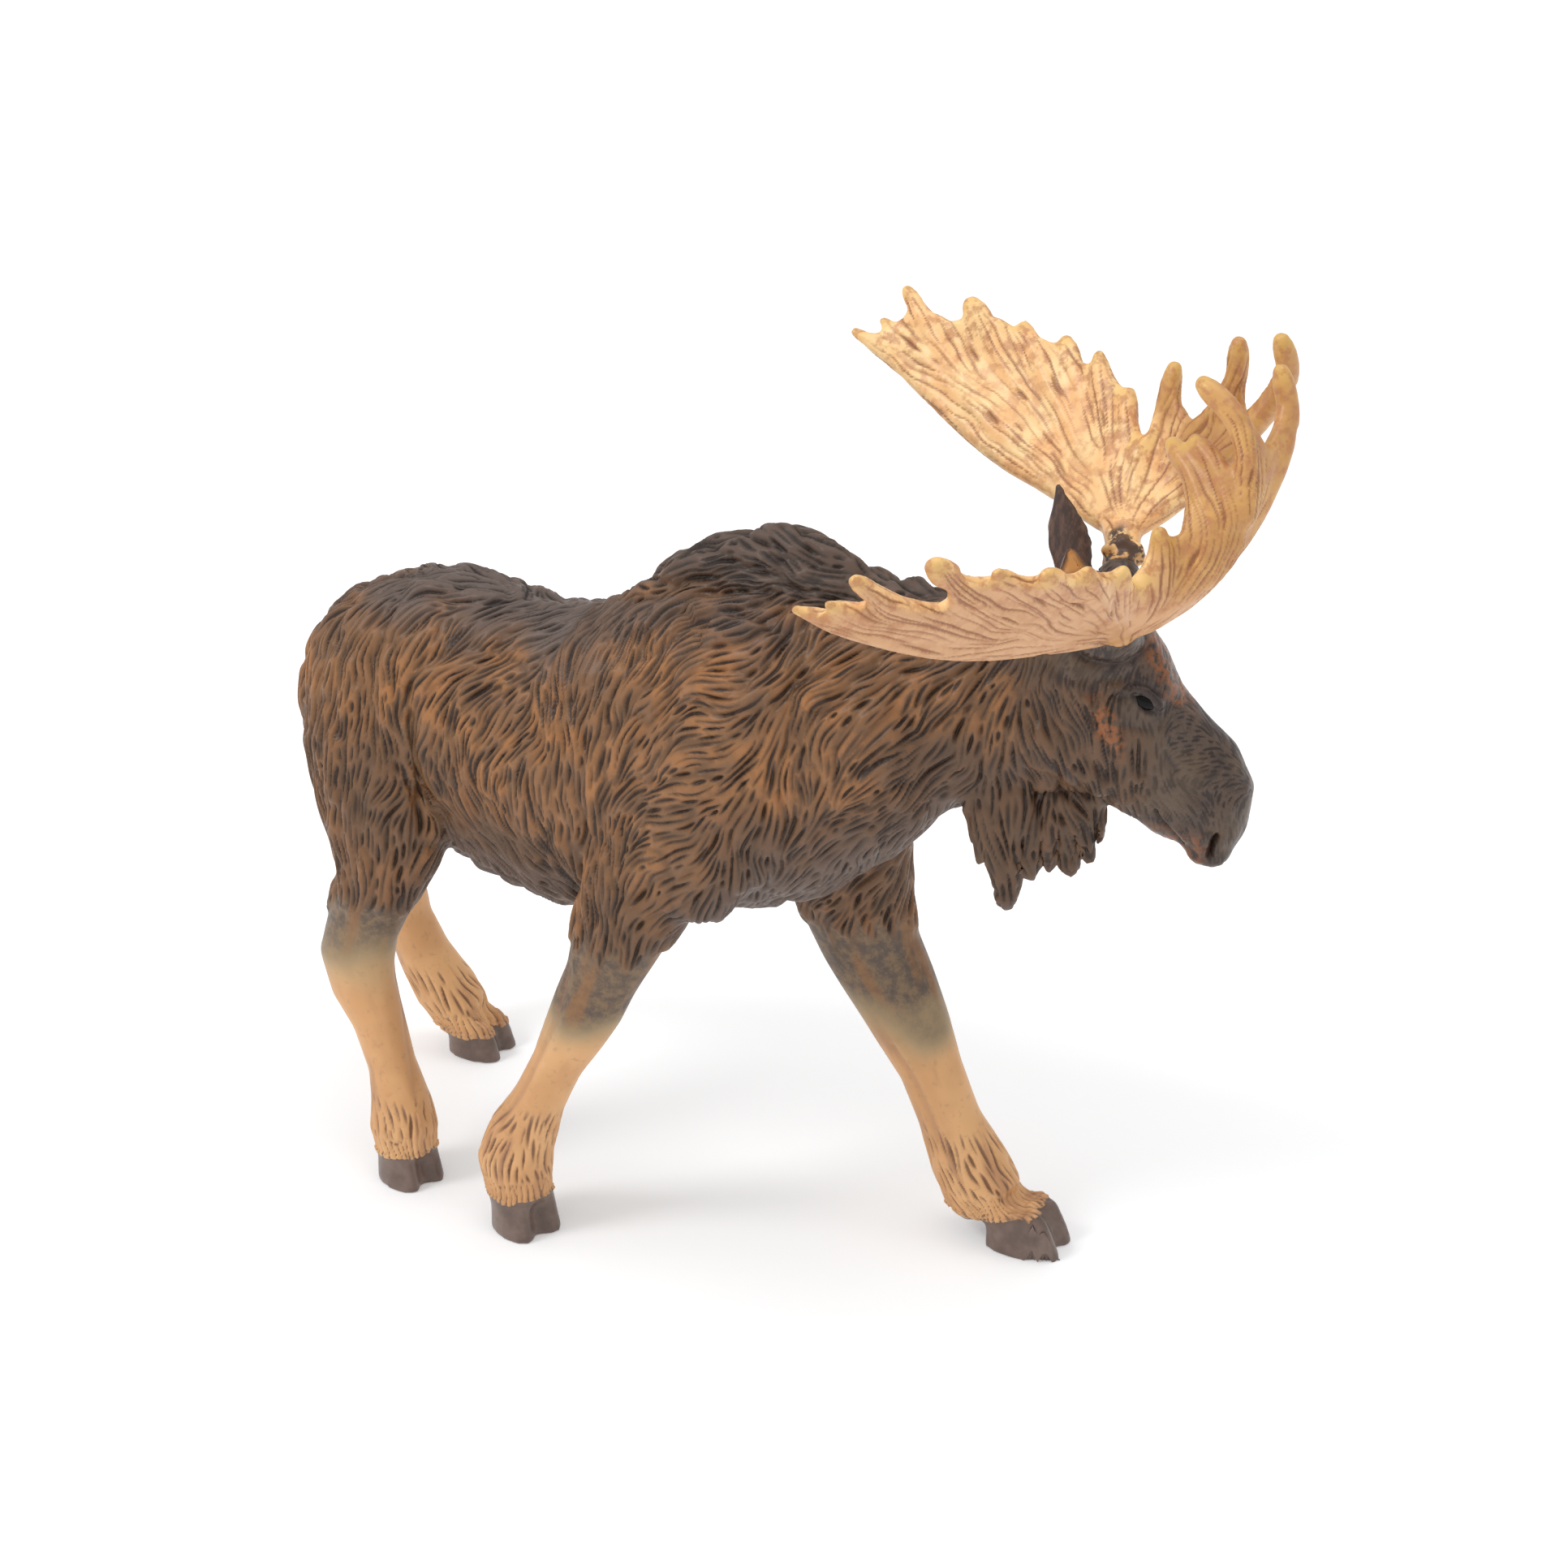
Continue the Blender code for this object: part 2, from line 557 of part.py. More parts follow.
def add_moulding(name, skin, paint, cuts):
    """A moulding cut from the skin."""
    obj = bpy.data.objects.new(name, skin.copy())
    bpy.data.collections["Moose"].objects.link(obj)
    obj.data.materials.clear()
    obj.data.materials.append(paint)
    for cutter, operation in cuts:
        cut(obj, cutter, operation)
    return obj


def painted(name):
    colour, roughness = PAINT[name]
    material = bpy.data.materials.new(name)
    material.use_nodes = True
    shader = material.node_tree.nodes["Principled BSDF"]
    shader.inputs["Base Color"].default_value = (*colour, 1.0)
    shader.inputs["Roughness"].default_value = roughness
    return material


def build_skin(mesh):
    add_trunk(mesh)
    add_mane(mesh)
    add_neck(mesh)
    add_table_limb(mesh, SHOULDER)
    add_table_limb(mesh, SHOULDER, -1.0)
    for table in (FRONT_RIGHT, FRONT_LEFT, HIND_RIGHT, HIND_LEFT, TAIL):
        add_table_limb(mesh, table)
    for name in HOOVES:
        add_hoof(mesh, name)
    add_skull(mesh)
    add_beard(mesh)
    add_ears(mesh)
    add_pedicles(mesh)


def leg_cutter(leg, use, bottom, top):
    """A box between two heights that holds one leg only."""
    low_x, low_y, high_x, high_y = LEG_QUARTERS[leg]
    return box_cutter(f"{leg}_{use}", (low_x, low_y, bottom), (high_x, high_y, top))


def main():
    for old in list(bpy.data.objects):
        bpy.data.objects.remove(old)
    for name in ("Moose", "Cutters"):
        bpy.context.scene.collection.children.link(bpy.data.collections.new(name))
    bpy.data.collections["Cutters"].hide_render = True
    fur, leg_paint, antler_paint = painted("fur_paint"), painted("leg_paint"), painted("antler_paint")

    skin = fused("skin", build_skin, SKIN_VOXEL, SKIN_SMOOTHING, SKIN_TRIANGLES)
    along = Vector(NECK_SEAM_NORMAL).normalized()
    turned = along.to_track_quat("X", "Z").to_matrix().to_4x4()
    reach = 60.0
    ahead = box_cutter("ahead_of_the_neck_seam", (0, 0, 0), (2 * reach, 160, 160),
                       Matrix.Translation(placed(Vector(NECK_SEAM_POINT) + along * (reach + SEAM_GAP / 2))) @ turned)
    behind = box_cutter("behind_the_neck_seam", (0, 0, 0), (2 * reach, 160, 160),
                        Matrix.Translation(placed(Vector(NECK_SEAM_POINT) + along * (reach - SEAM_GAP / 2))) @ turned)
    above = box_cutter("above_the_chest", (-90, -60, 60), (110, 60, 170))
    legs, leg_rooms = {}, []
    for leg, seam in LEG_SEAM_HEIGHT.items():
        legs[leg] = leg_cutter(leg, "below_its_seam", 0.0, seam - SEAM_GAP)
        leg_rooms.append(leg_cutter(leg, "room", -10.0, seam))

    add_moulding("body", skin, fur, [(behind, "DIFFERENCE")] + [(room, "DIFFERENCE") for room in leg_rooms])
    add_moulding("head", skin, fur, [(ahead, "INTERSECT"), (above, "INTERSECT")])
    for leg, cutter in legs.items():
        first, side = leg.split("_")
        add_moulding(f"{first}_leg_{side}", skin, leg_paint, [(cutter, "INTERSECT")])
    for name, side, ribs, valleys in (
        ("antler_right", -1, BROW_RIBS_RIGHT, VALLEYS_RIGHT),
        ("antler_left", 1, BROW_RIBS_LEFT, VALLEYS_LEFT),
    ):
        antler = fused(name, lambda mesh: add_antler(mesh, side, ribs, valleys), ANTLER_VOXEL,
                       ANTLER_SMOOTHING, ANTLER_TRIANGLES)
        add_moulding(name, antler, antler_paint, [])


main()
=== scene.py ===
"""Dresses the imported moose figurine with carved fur, grooved antlers, hooves, eyes and paint, and adds the
floor, the light and the camera."""
import math

import bpy
import numpy as np
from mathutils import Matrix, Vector
from mathutils.bvhtree import BVHTree
from mathutils.kdtree import KDTree


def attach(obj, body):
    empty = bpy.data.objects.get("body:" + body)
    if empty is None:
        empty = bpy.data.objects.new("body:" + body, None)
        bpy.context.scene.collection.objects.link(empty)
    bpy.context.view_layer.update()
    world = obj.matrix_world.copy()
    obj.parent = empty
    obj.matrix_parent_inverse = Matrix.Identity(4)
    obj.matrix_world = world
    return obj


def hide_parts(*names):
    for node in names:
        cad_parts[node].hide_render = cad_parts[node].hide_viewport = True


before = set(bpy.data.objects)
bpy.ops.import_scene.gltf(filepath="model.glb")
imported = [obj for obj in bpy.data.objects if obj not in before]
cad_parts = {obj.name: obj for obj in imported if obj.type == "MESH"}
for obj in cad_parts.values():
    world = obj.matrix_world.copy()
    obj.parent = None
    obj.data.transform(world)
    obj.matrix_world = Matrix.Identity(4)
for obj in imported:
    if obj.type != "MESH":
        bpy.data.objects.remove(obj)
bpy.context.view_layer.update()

MM = 0.001

# Camera, in metres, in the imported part's frame
CAMERA_PLACE = Vector((0.27843, -0.42722, 0.31902))
CAMERA_TARGET = Vector((-0.00734, 0.03011, 0.056))
CAMERA_TURN = (CAMERA_TARGET - CAMERA_PLACE).to_track_quat("-Z", "Y")
CAMERA_LENS = 97.27
SENSOR = 36.0
PHOTO_SIDE = 1932


def add_camera():
    data = bpy.data.cameras.new("camera")
    data.lens = CAMERA_LENS
    data.sensor_width = SENSOR
    data.sensor_height = SENSOR
    data.sensor_fit = "HORIZONTAL"
    data.clip_start = 0.01
    data.clip_end = 20
    camera = bpy.data.objects.new("camera", data)
    camera.location = CAMERA_PLACE
    camera.rotation_euler = CAMERA_TURN.to_euler()
    bpy.context.scene.collection.objects.link(camera)
    bpy.context.scene.camera = camera


def photo_ray(x, y):
    """The direction in which the camera sees a pixel of the 1932 pixel square frame."""
    span = SENSOR / CAMERA_LENS
    aside = (x / PHOTO_SIDE - 0.5) * span
    above = (0.5 - y / PHOTO_SIDE) * span
    return (CAMERA_TURN.to_matrix() @ Vector((aside, above, -1.0))).normalized()


# Mesh helpers; arrays are in millimetres

def read(items, key, kind, each=1):
    """One value, or several, of each item of a mesh."""
    values = np.empty(len(items) * each, kind)
    items.foreach_get(key, values)
    return values.reshape(-1, each) if each > 1 else values


def places_of(mesh):
    return read(mesh.vertices, "co", np.float32, 3).astype(float) / MM


def node_arrays(name):
    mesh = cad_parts[name].data
    mesh.calc_loop_triangles()
    return places_of(mesh), read(mesh.loop_triangles, "vertices", np.int32, 3)


def joined(parts):
    """The parts' points and faces as one."""
    starts = np.cumsum([0] + [len(points) for points, _ in parts])
    return (np.concatenate([points for points, _ in parts]),
            np.concatenate([faces + start for (_, faces), start in zip(parts, starts)]))


def mesh_from(points, faces, name="made"):
    mesh = bpy.data.meshes.new(name)
    mesh.from_pydata((points * MM).tolist(), [], faces.tolist())
    return mesh


def remeshed(points, faces, voxel):
    """The closed surface around the given one, as even quads of the voxel's size."""
    holder = bpy.data.objects.new("holder", mesh_from(points, faces))
    bpy.context.scene.collection.objects.link(holder)
    modifier = holder.modifiers.new("voxels", "REMESH")
    modifier.mode = "VOXEL"
    modifier.voxel_size = voxel * MM
    depsgraph = bpy.context.evaluated_depsgraph_get()
    mesh = bpy.data.meshes.new_from_object(holder.evaluated_get(depsgraph))
    old = holder.data
    bpy.data.objects.remove(holder)
    bpy.data.meshes.remove(old)
    points, faces = places_of(mesh), read(mesh.loops, "vertex_index", np.int32)
    bpy.data.meshes.remove(mesh)
    return points, faces.reshape(-1, 4)


def side_pairs(faces):
    """Every directed side of every face once."""
    return np.concatenate(
        [np.stack([faces[:, k], faces[:, (k + 1) % faces.shape[1]]], 1) for k in range(faces.shape[1])]
    )


def relaxed(values, pairs, steps):
    """Values moved towards (or with a negative step away from) the mean of their neighbours."""
    a, b = pairs.T
    count = np.maximum(np.bincount(a, minlength=len(values)), 1)
    for step in steps:
        if values.ndim == 1:
            mean = np.bincount(a, values[b], len(values)) / count
        else:
            mean = np.stack(
                [np.bincount(a, values[b, k], len(values)) for k in range(values.shape[1])], 1
            ) / count[:, None]
        values = values + step * (mean - values)
    return values


def normals_of(points, faces):
    """Unit normals of the points of a mesh of quads or triangles."""
    if faces.shape[1] == 4:
        flat = np.cross(points[faces[:, 2]] - points[faces[:, 0]], points[faces[:, 3]] - points[faces[:, 1]])
    else:
        flat = np.cross(points[faces[:, 1]] - points[faces[:, 0]], points[faces[:, 2]] - points[faces[:, 0]])
    total = np.zeros_like(points)
    for k in range(faces.shape[1]):
        for axis in range(3):
            total[:, axis] += np.bincount(faces[:, k], flat[:, axis], len(points))
    return total / np.maximum(np.linalg.norm(total, axis=1), 1e-12)[:, None]


def ease(low, high, x):
    """A smooth step from 0 at low to 1 at high; low may be the greater."""
    t = np.clip((x - low) / (high - low), 0.0, 1.0)
    return t * t * (3 - 2 * t)


SKIN_NODES = ("body", "head", "front_leg_right", "front_leg_left", "hind_leg_right", "hind_leg_left")
SWELL = 0.3
COARSE_VOXEL = 0.6
SKIN_VOXEL = 0.25
ROUND_OFF = (0.5, -0.53)
# Dewclaws behind the fetlocks: x, y, z, radius
DEWCLAWS = [
    (-27.0, -14.2, 11.4, 1.9), (-26.8, -11.6, 10.6, 1.9), (-26.6, -13.8, 8.0, 1.5), (29.8, 22.0, 5.2, 1.7),
    (29.4, 19.2, 5.4, 1.7), (31.2, 19.6, 3.6, 1.3), (-49.4, -12.0, 8.6, 1.6), (-49.4, -9.2, 8.4, 1.6),
    (-67.6, 23.4, 8.0, 1.6), (-67.4, 26.0, 7.8, 1.6),
]


def skin_surface():
    """One smooth closed surface over the body, head and legs, with the parting gaps closed."""
    parts = []
    for name in SKIN_NODES:
        points, faces = node_arrays(name)
        parts.append((points + SWELL * normals_of(points, faces), faces))
    parts += [ball(np.array(place), radius) for *place, radius in DEWCLAWS]
    points, faces = remeshed(*joined(parts), COARSE_VOXEL)
    points = relaxed(points, side_pairs(faces), ROUND_OFF * 12)
    points, faces = remeshed(points, faces, SKIN_VOXEL)
    points = relaxed(points, side_pairs(faces), ROUND_OFF * 3)
    return points - (SWELL - 0.05) * normals_of(points, faces), faces


# The midline bends from the body's plane to that of the turned head
MIDLINE = 5.41
BEND_START = 19.0
HEAD_START = 53.16
HEAD_SLOPE = math.tan(math.radians(27.0))
HEAD_ORIGIN = np.array((53.16, 14.11, 105.6))
HEAD_AHEAD = np.array((math.cos(math.radians(27.0)), math.sin(math.radians(27.0)), 0.0))
HEAD_LEFT = np.array((-HEAD_AHEAD[1], HEAD_AHEAD[0], 0.0))


def midline(x):
    """The animal's middle at x, and its slope there."""
    run = np.clip(x - BEND_START, 0, HEAD_START - BEND_START)
    curve = HEAD_SLOPE / (2 * (HEAD_START - BEND_START))
    return MIDLINE + curve * run**2 + HEAD_SLOPE * np.maximum(x - HEAD_START, 0), 2 * curve * run


def head_place(points):
    """Forward, up and sideways (left) from the head's own origin."""
    offset = points - HEAD_ORIGIN
    return offset @ HEAD_AHEAD, offset[:, 2], offset @ HEAD_LEFT


def noise(points, size, seed=0):
    """Smooth noise from -1 to 1, with lumps of about the given size."""
    places = points / size + seed * 17.31
    cell = np.floor(places).astype(np.int64)
    part = places - cell
    part = part * part * (3 - 2 * part)
    total = np.zeros(len(points))
    for corner in range(8):
        step = np.array([corner & 1, corner >> 1 & 1, corner >> 2 & 1])
        at = cell + step
        key = at[:, 0] * 73856093 ^ at[:, 1] * 19349663 ^ at[:, 2] * 83492791 ^ seed * 40503
        key = (key ^ key >> 13) * 1274126177 & 0xFFFFFFFF
        key = (key ^ key >> 15) & 0xFFFF
        weight = np.prod(np.where(step, part, 1 - part), axis=1)
        total += weight * (key / 32767.5 - 1)
    return total


# Legs, from the trunk down to the hoof: x, y, z of the middle, in the figurine's frame
LEGS = {
    "front_right": [
        (-2.0, -6.6, 64), (-6.6, -8.1, 56), (-9.6, -9.4, 48), (-13.4, -10.5, 37.8), (-18.4, -11.4, 27.4),
        (-24.0, -12.4, 15), (-25.1, -12.7, 10.8), (-24.6, -12.8, 6.8), (-23.8, -12.8, 0),
    ],
    "front_left": [
        (11.0, 15.4, 66), (10.2, 16.9, 56), (14.4, 18.6, 41.1), (20.4, 19.4, 30.2), (26.2, 20.2, 16.9),
        (29.0, 20.5, 11.2), (33.6, 20.6, 5), (38.4, 20.7, 0),
    ],
    "hind_right": [
        (-50.2, -6.4, 58), (-49.2, -8.0, 51), (-50.2, -9.2, 45), (-53.6, -10.1, 34), (-50.0, -10.4, 24.5),
        (-47.9, -10.5, 17.9), (-46.2, -10.6, 8.4), (-45.6, -10.6, 0),
    ],
    "hind_left": [
        (-53.4, 16.4, 58), (-58.4, 17.4, 51), (-64.4, 18.4, 45), (-70.5, 20.8, 34), (-69.8, 22.8, 21.2),
        (-67.6, 23.8, 14.6), (-64.4, 24.6, 9.3), (-58.8, 25.2, 0),
    ],
}
# Heights: the body fur's lower edge, the top of the hair over the hoof, the hoof's top at heel and toe
LEG_HEIGHTS = {
    "front_right": (50.0, 19.0, 5.8, 6.6),
    "front_left": (48.0, 15.0, 4.6, 7.6),
    "hind_right": (44.0, 12.5, 4.8, 5.8),
    "hind_left": (44.0, 12.5, 3.8, 4.6),
}
# Hooves: middle of the sole, the direction that they point in degrees, length
HOOVES = {
    "front_right": (-23.84, -12.79, -18.0, 9.6),
    "front_left": (38.36, 20.71, 8.0, 12.8),
    "hind_right": (-45.64, -10.59, -14.0, 9.4),
    "hind_left": (-58.84, 25.21, 6.0, 10.2),
}


SLOPE_RUN = 4.0  # mm of height over which a leg's slope is taken
STREAK_SHRINK = 0.14


def nearest_leg(points):
    """For every point: the number of the nearest leg, the distance to its middle, the way down along it, and
    the place seen from the middle, with heights shrunk, in which streaks along the leg are drawn."""
    best = np.full(len(points), 1e9)
    local = np.zeros((len(points), 3))
    number = np.zeros(len(points), int)
    down = np.zeros((len(points), 3))
    for k, rows in enumerate(LEGS.values()):
        line = np.array(rows, float)[::-1]
        height = np.clip(points[:, 2], line[0, 2], line[-1, 2])
        x = np.interp(height, line[:, 2], line[:, 0])
        y = np.interp(height, line[:, 2], line[:, 1])
        away = np.hypot(points[:, 0] - x, points[:, 1] - y)
        lower = np.maximum(height - SLOPE_RUN / 2, 0)
        aside = [
            np.interp(lower, line[:, 2], side) - np.interp(lower + SLOPE_RUN, line[:, 2], side)
            for side in (line[:, 0], line[:, 1])
        ]
        slope = np.stack([*aside, np.full(len(points), -SLOPE_RUN)], 1)
        near = away < best
        best = np.where(near, away, best)
        number = np.where(near, k, number)
        down[near] = slope[near] / np.linalg.norm(slope[near], axis=1)[:, None]
        local[near] = np.stack([points[:, 0] - x, points[:, 1] - y, STREAK_SHRINK * points[:, 2]], 1)[near]
    return number, best, down, local


# The fur's flow on the side that the camera sees: pixel of the photograph's frame, and the angle in which the
# hair points there, in degrees, 0 to the right, 90 up, 180 to the left. The far side mirrors it.
FLOW = [
    (565, 735, 172), (436, 732, 205), (387, 820, 262), (395, 935, 280), (465, 780, 232), (436, 852, 265),
    (473, 852, 275), (488, 915, 283), (436, 938, 275), (470, 990, 240), (436, 1024, 272), (493, 1053, 252),
    (436, 1067, 290), (479, 1096, 265), (522, 1060, 245), (530, 790, 245), (590, 775, 212), (655, 775, 205),
    (580, 810, 205), (580, 852, 213), (637, 840, 222), (537, 852, 232), (522, 910, 262), (556, 924, 268),
    (608, 895, 240), (637, 918, 235), (680, 852, 278), (694, 880, 283), (708, 938, 262), (723, 866, 250),
    (565, 981, 285), (594, 990, 290), (536, 980, 300), (665, 995, 280), (694, 995, 275), (622, 1024, 300),
    (665, 1048, 305), (843, 703, 205), (890, 680, 188), (996, 678, 132), (975, 665, 142), (940, 665, 162),
    (1030, 730, 158), (995, 722, 160), (905, 730, 186), (850, 732, 205), (810, 712, 200), (748, 751, 215),
    (780, 767, 222), (815, 775, 228), (900, 775, 183), (955, 757, 210), (980, 770, 226), (1006, 783, 232),
    (900, 808, 182), (949, 796, 205), (843, 815, 218), (821, 821, 243), (796, 808, 236), (764, 821, 248),
    (748, 796, 240), (900, 845, 187), (955, 837, 215), (974, 828, 230), (843, 840, 205), (808, 853, 222),
    (764, 869, 262), (905, 868, 190), (955, 866, 232), (977, 872, 260), (1003, 879, 258), (828, 885, 205),
    (796, 895, 232), (905, 893, 192), (949, 911, 252), (974, 917, 268), (1003, 917, 272), (1019, 933, 275),
    (853, 917, 212), (808, 917, 235), (764, 917, 245), (878, 942, 195), (923, 939, 218), (939, 965, 240),
    (961, 949, 268), (993, 974, 283), (1019, 974, 262), (843, 965, 195), (805, 974, 215), (891, 977, 205),
    (917, 987, 228), (828, 997, 195), (780, 997, 238), (748, 974, 246), (828, 1022, 190), (878, 1012, 225),
    (904, 1028, 240), (949, 1012, 265), (805, 1054, 185), (843, 1057, 205), (764, 1028, 262),
    (732, 1006, 262), (869, 1060, 250), (904, 1070, 270), (936, 1070, 280), (789, 1083, 235),
    (748, 1076, 265), (980, 1076, 228), (1003, 1044, 225), (1050, 1012, 215), (1076, 997, 222),
    (1019, 1092, 228), (1050, 1060, 240), (1028, 826, 210), (1022, 857, 228), (1056, 812, 205),
    (1098, 820, 203), (1140, 820, 208), (1196, 820, 218), (1233, 832, 228), (1056, 857, 222),
    (1098, 868, 220), (1140, 868, 230), (1182, 857, 225), (1070, 905, 228), (1112, 902, 228),
    (1154, 902, 235), (1196, 913, 252), (1037, 896, 240), (1098, 952, 222), (1056, 952, 235),
    (1154, 947, 207), (1177, 961, 203), (1028, 966, 245), (1098, 980, 213), (1056, 1003, 218),
    (1126, 983, 225), (1168, 989, 250), (1233, 868, 268), (1281, 882, 290), (1295, 910, 305),
    (1267, 938, 300), (1239, 924, 275), (1222, 896, 262), (1225, 938, 262), (1225, 980, 278),
    (1253, 1009, 275), (1210, 1009, 285), (1239, 1065, 275), (1281, 1023, 272), (1272, 822, 262),
    (1297, 867, 295), (1319, 860, 300), (1317, 922, 290), (1342, 922, 283), (1367, 934, 282),
    (1391, 934, 275), (1411, 947, 278), (1329, 964, 272), (1396, 964, 265), (1460, 915, 185),
    (1478, 934, 172), (1500, 900, 130), (1429, 922, 285), (1441, 979, 310), (1428, 822, 255),
    (1370, 860, 275), (1320, 1000, 275), (1330, 820, 240),
]
FLOW_SOFT = 2.0  # mm; the guides blend over about this distance


def side_space(points):
    """Points with the bend of the neck taken out and the far side mirrored to the near one."""
    middle, slope = midline(points[:, 0])
    offset = points[:, 1] - middle
    return np.stack([points[:, 0], -np.abs(offset), points[:, 2]], 1), np.sign(offset), slope


def unit(rows):
    return rows / np.maximum(np.linalg.norm(rows, axis=1), 1e-9)[:, None]


def laid_down(way, normals, angle):
    """Directions laid into the surface and turned in it by the angle."""
    way = way - (way * normals).sum(1)[:, None] * normals
    return unit(way * np.cos(angle)[:, None] + np.cross(normals, way) * np.sin(angle)[:, None])


class Flow:
    """The direction in which the hair lies, from the guides."""

    def __init__(self, tree):
        turn = CAMERA_TURN.to_matrix()
        right, up = np.array(turn.col[0]), np.array(turn.col[1])
        places, ways = [], []
        for x, y, angle in FLOW:
            ray = photo_ray(x, y)
            hit, normal, _, _ = tree.ray_cast(CAMERA_PLACE / MM, ray)
            if hit is None:
                continue
            ray, normal = np.array(ray), np.array(normal)
            seen = right * math.cos(math.radians(angle)) + up * math.sin(math.radians(angle))
            way = seen - ray * (seen @ normal) / min(ray @ normal, -0.35)
            places.append(np.array(hit))
            ways.append(way / np.linalg.norm(way))
        places, ways = np.array(places), np.array(ways)
        self.places, side, slope = side_space(places)
        ways[:, 1] = (ways[:, 1] - slope * ways[:, 0]) * np.where(side > 0, -1, 1)
        self.ways = ways

    def __call__(self, points, normals):
        places, side, slope = side_space(points)
        away = ((places**2).sum(1)[:, None] + (self.places**2).sum(1)[None] - 2 * places @ self.places.T)
        weight = (np.maximum(away, 0) + FLOW_SOFT**2) ** -2.5
        way = weight @ self.ways / weight.sum(1)[:, None]
        way[:, 1] = way[:, 1] * np.where(side > 0, -1, 1) + slope * way[:, 0]
        way = unit(way)
        _, _, down, _ = nearest_leg(points)
        low = ease(50, 42, points[:, 2])[:, None] * (points[:, 0] < 45)[:, None]
        way = way * (1 - low) + down * low
        return laid_down(way, normals, 0.35 * noise(points, 5.0, 3) + 0.30 * noise(points, 2.2, 4))


def scattered(points, wanted, spacing, seed):
    """Numbers of points spread over the surface, about one in each cell of the spacing's size."""
    random = np.random.default_rng(seed)
    order = random.permutation(np.flatnonzero(wanted))
    cell = np.floor(points[order] / spacing + 1000).astype(np.int64)
    key = cell[:, 0] * 4000000 + cell[:, 1] * 2000 + cell[:, 2]
    _, first = np.unique(key, return_index=True)
    return order[np.sort(first)]


CHUNK = 40000  # points worked out at a time


def flow_at(flow, points, normals):
    """The flow's direction at every point of the surface."""
    parts = [slice(n, n + CHUNK) for n in range(0, len(points), CHUNK)]
    return np.concatenate([flow(points[part], normals[part]) for part in parts])


def combed(points, ways, corner, tree, seeds, open_to, spacing, apart, longest, step):
    """Lines along the ways, evenly spread. None starts nearer to another than the spacing there. Each ends
    where it would come nearer than the share "apart" of it, where open_to is false, or at its length."""
    cell = float(spacing.max())
    grid = {}
    near_cells = [(i, j, k) for i in (-1, 0, 1) for j in (-1, 0, 1) for k in (-1, 0, 1)]

    def crowded(place, radius):
        x, y, z = place
        cx, cy, cz = int(x // cell), int(y // cell), int(z // cell)
        for i, j, k in near_cells:
            for other in grid.get((cx + i, cy + j, cz + k), ()):
                if (other[0] - x) ** 2 + (other[1] - y) ** 2 + (other[2] - z) ** 2 < radius * radius:
                    return True
        return False

    def walk(vertex, sign, count):
        found, at = [], vertex
        place = Vector(points[vertex])
        for _ in range(count):
            place, _, face, _ = tree.find_nearest(place + Vector(ways[at]) * (sign * step))
            at = corner[face]
            if not open_to[at] or crowded(place, apart * spacing[at]):
                break
            found.append((place, at))
        return found

    lines = []
    for vertex, length in zip(seeds, longest):
        if crowded(points[vertex], spacing[vertex]):
            continue
        count = int(length / step)
        line = walk(vertex, -1, count // 3)[::-1] + [(Vector(points[vertex]), vertex)]
        line += walk(vertex, 1, count - len(line))
        if len(line) < 3:
            continue
        for place, _ in line:
            grid.setdefault(tuple(int(c // cell) for c in place), []).append(tuple(place))
        lines.append(line)
    places = np.array([place for line in lines for place, _ in line])
    at = np.array([vertex for line in lines for _, vertex in line])
    counts = np.array([len(line) for line in lines])
    numbers = np.repeat(np.arange(len(lines)), counts)
    shares = (np.arange(len(places)) - np.repeat(np.cumsum(counts) - counts, counts)) / counts[numbers]
    return (places, ways[at], shares, numbers), counts * step, at[np.cumsum(counts) - counts]


def search_tree(places):
    tree = KDTree(len(places))
    for n, place in enumerate(places):
        tree.insert(place, n)
    tree.balance()
    return tree


def grooved(points, wanted, lines, step, lengths, widths, depths, near=6):
    """For every wanted point how deep it lies in a groove, from 0 to 1, and the number of the nearest groove.
    A groove is widest and deepest in its middle and runs out at both ends."""
    places, ways, shares, numbers = lines
    tree = search_tree(places)
    chosen = np.flatnonzero(wanted)
    found = np.array([[hit[1] for hit in tree.find_n(points[n], near)] for n in chosen])
    gap = points[chosen][:, None] - places[found]
    along = (gap * ways[found]).sum(2)
    across = np.linalg.norm(gap - along[..., None] * ways[found], axis=2)
    number = numbers[found]
    share = shares[found] + along / lengths[number]
    full = np.clip(4 * share * (1 - share), 0, 1) ** 0.6
    cross = np.clip(1 - (across / (widths[number] * (0.3 + 0.7 * full))) ** 2, 0, 1) ** 1.5
    depth = depths[number] * full * cross * (np.abs(along) < 0.9 * step)
    out_depth = np.zeros(len(points))
    out_number = np.zeros(len(points), int)
    out_depth[chosen] = depth.max(1)
    out_number[chosen] = number[:, 0]
    return out_depth, out_number


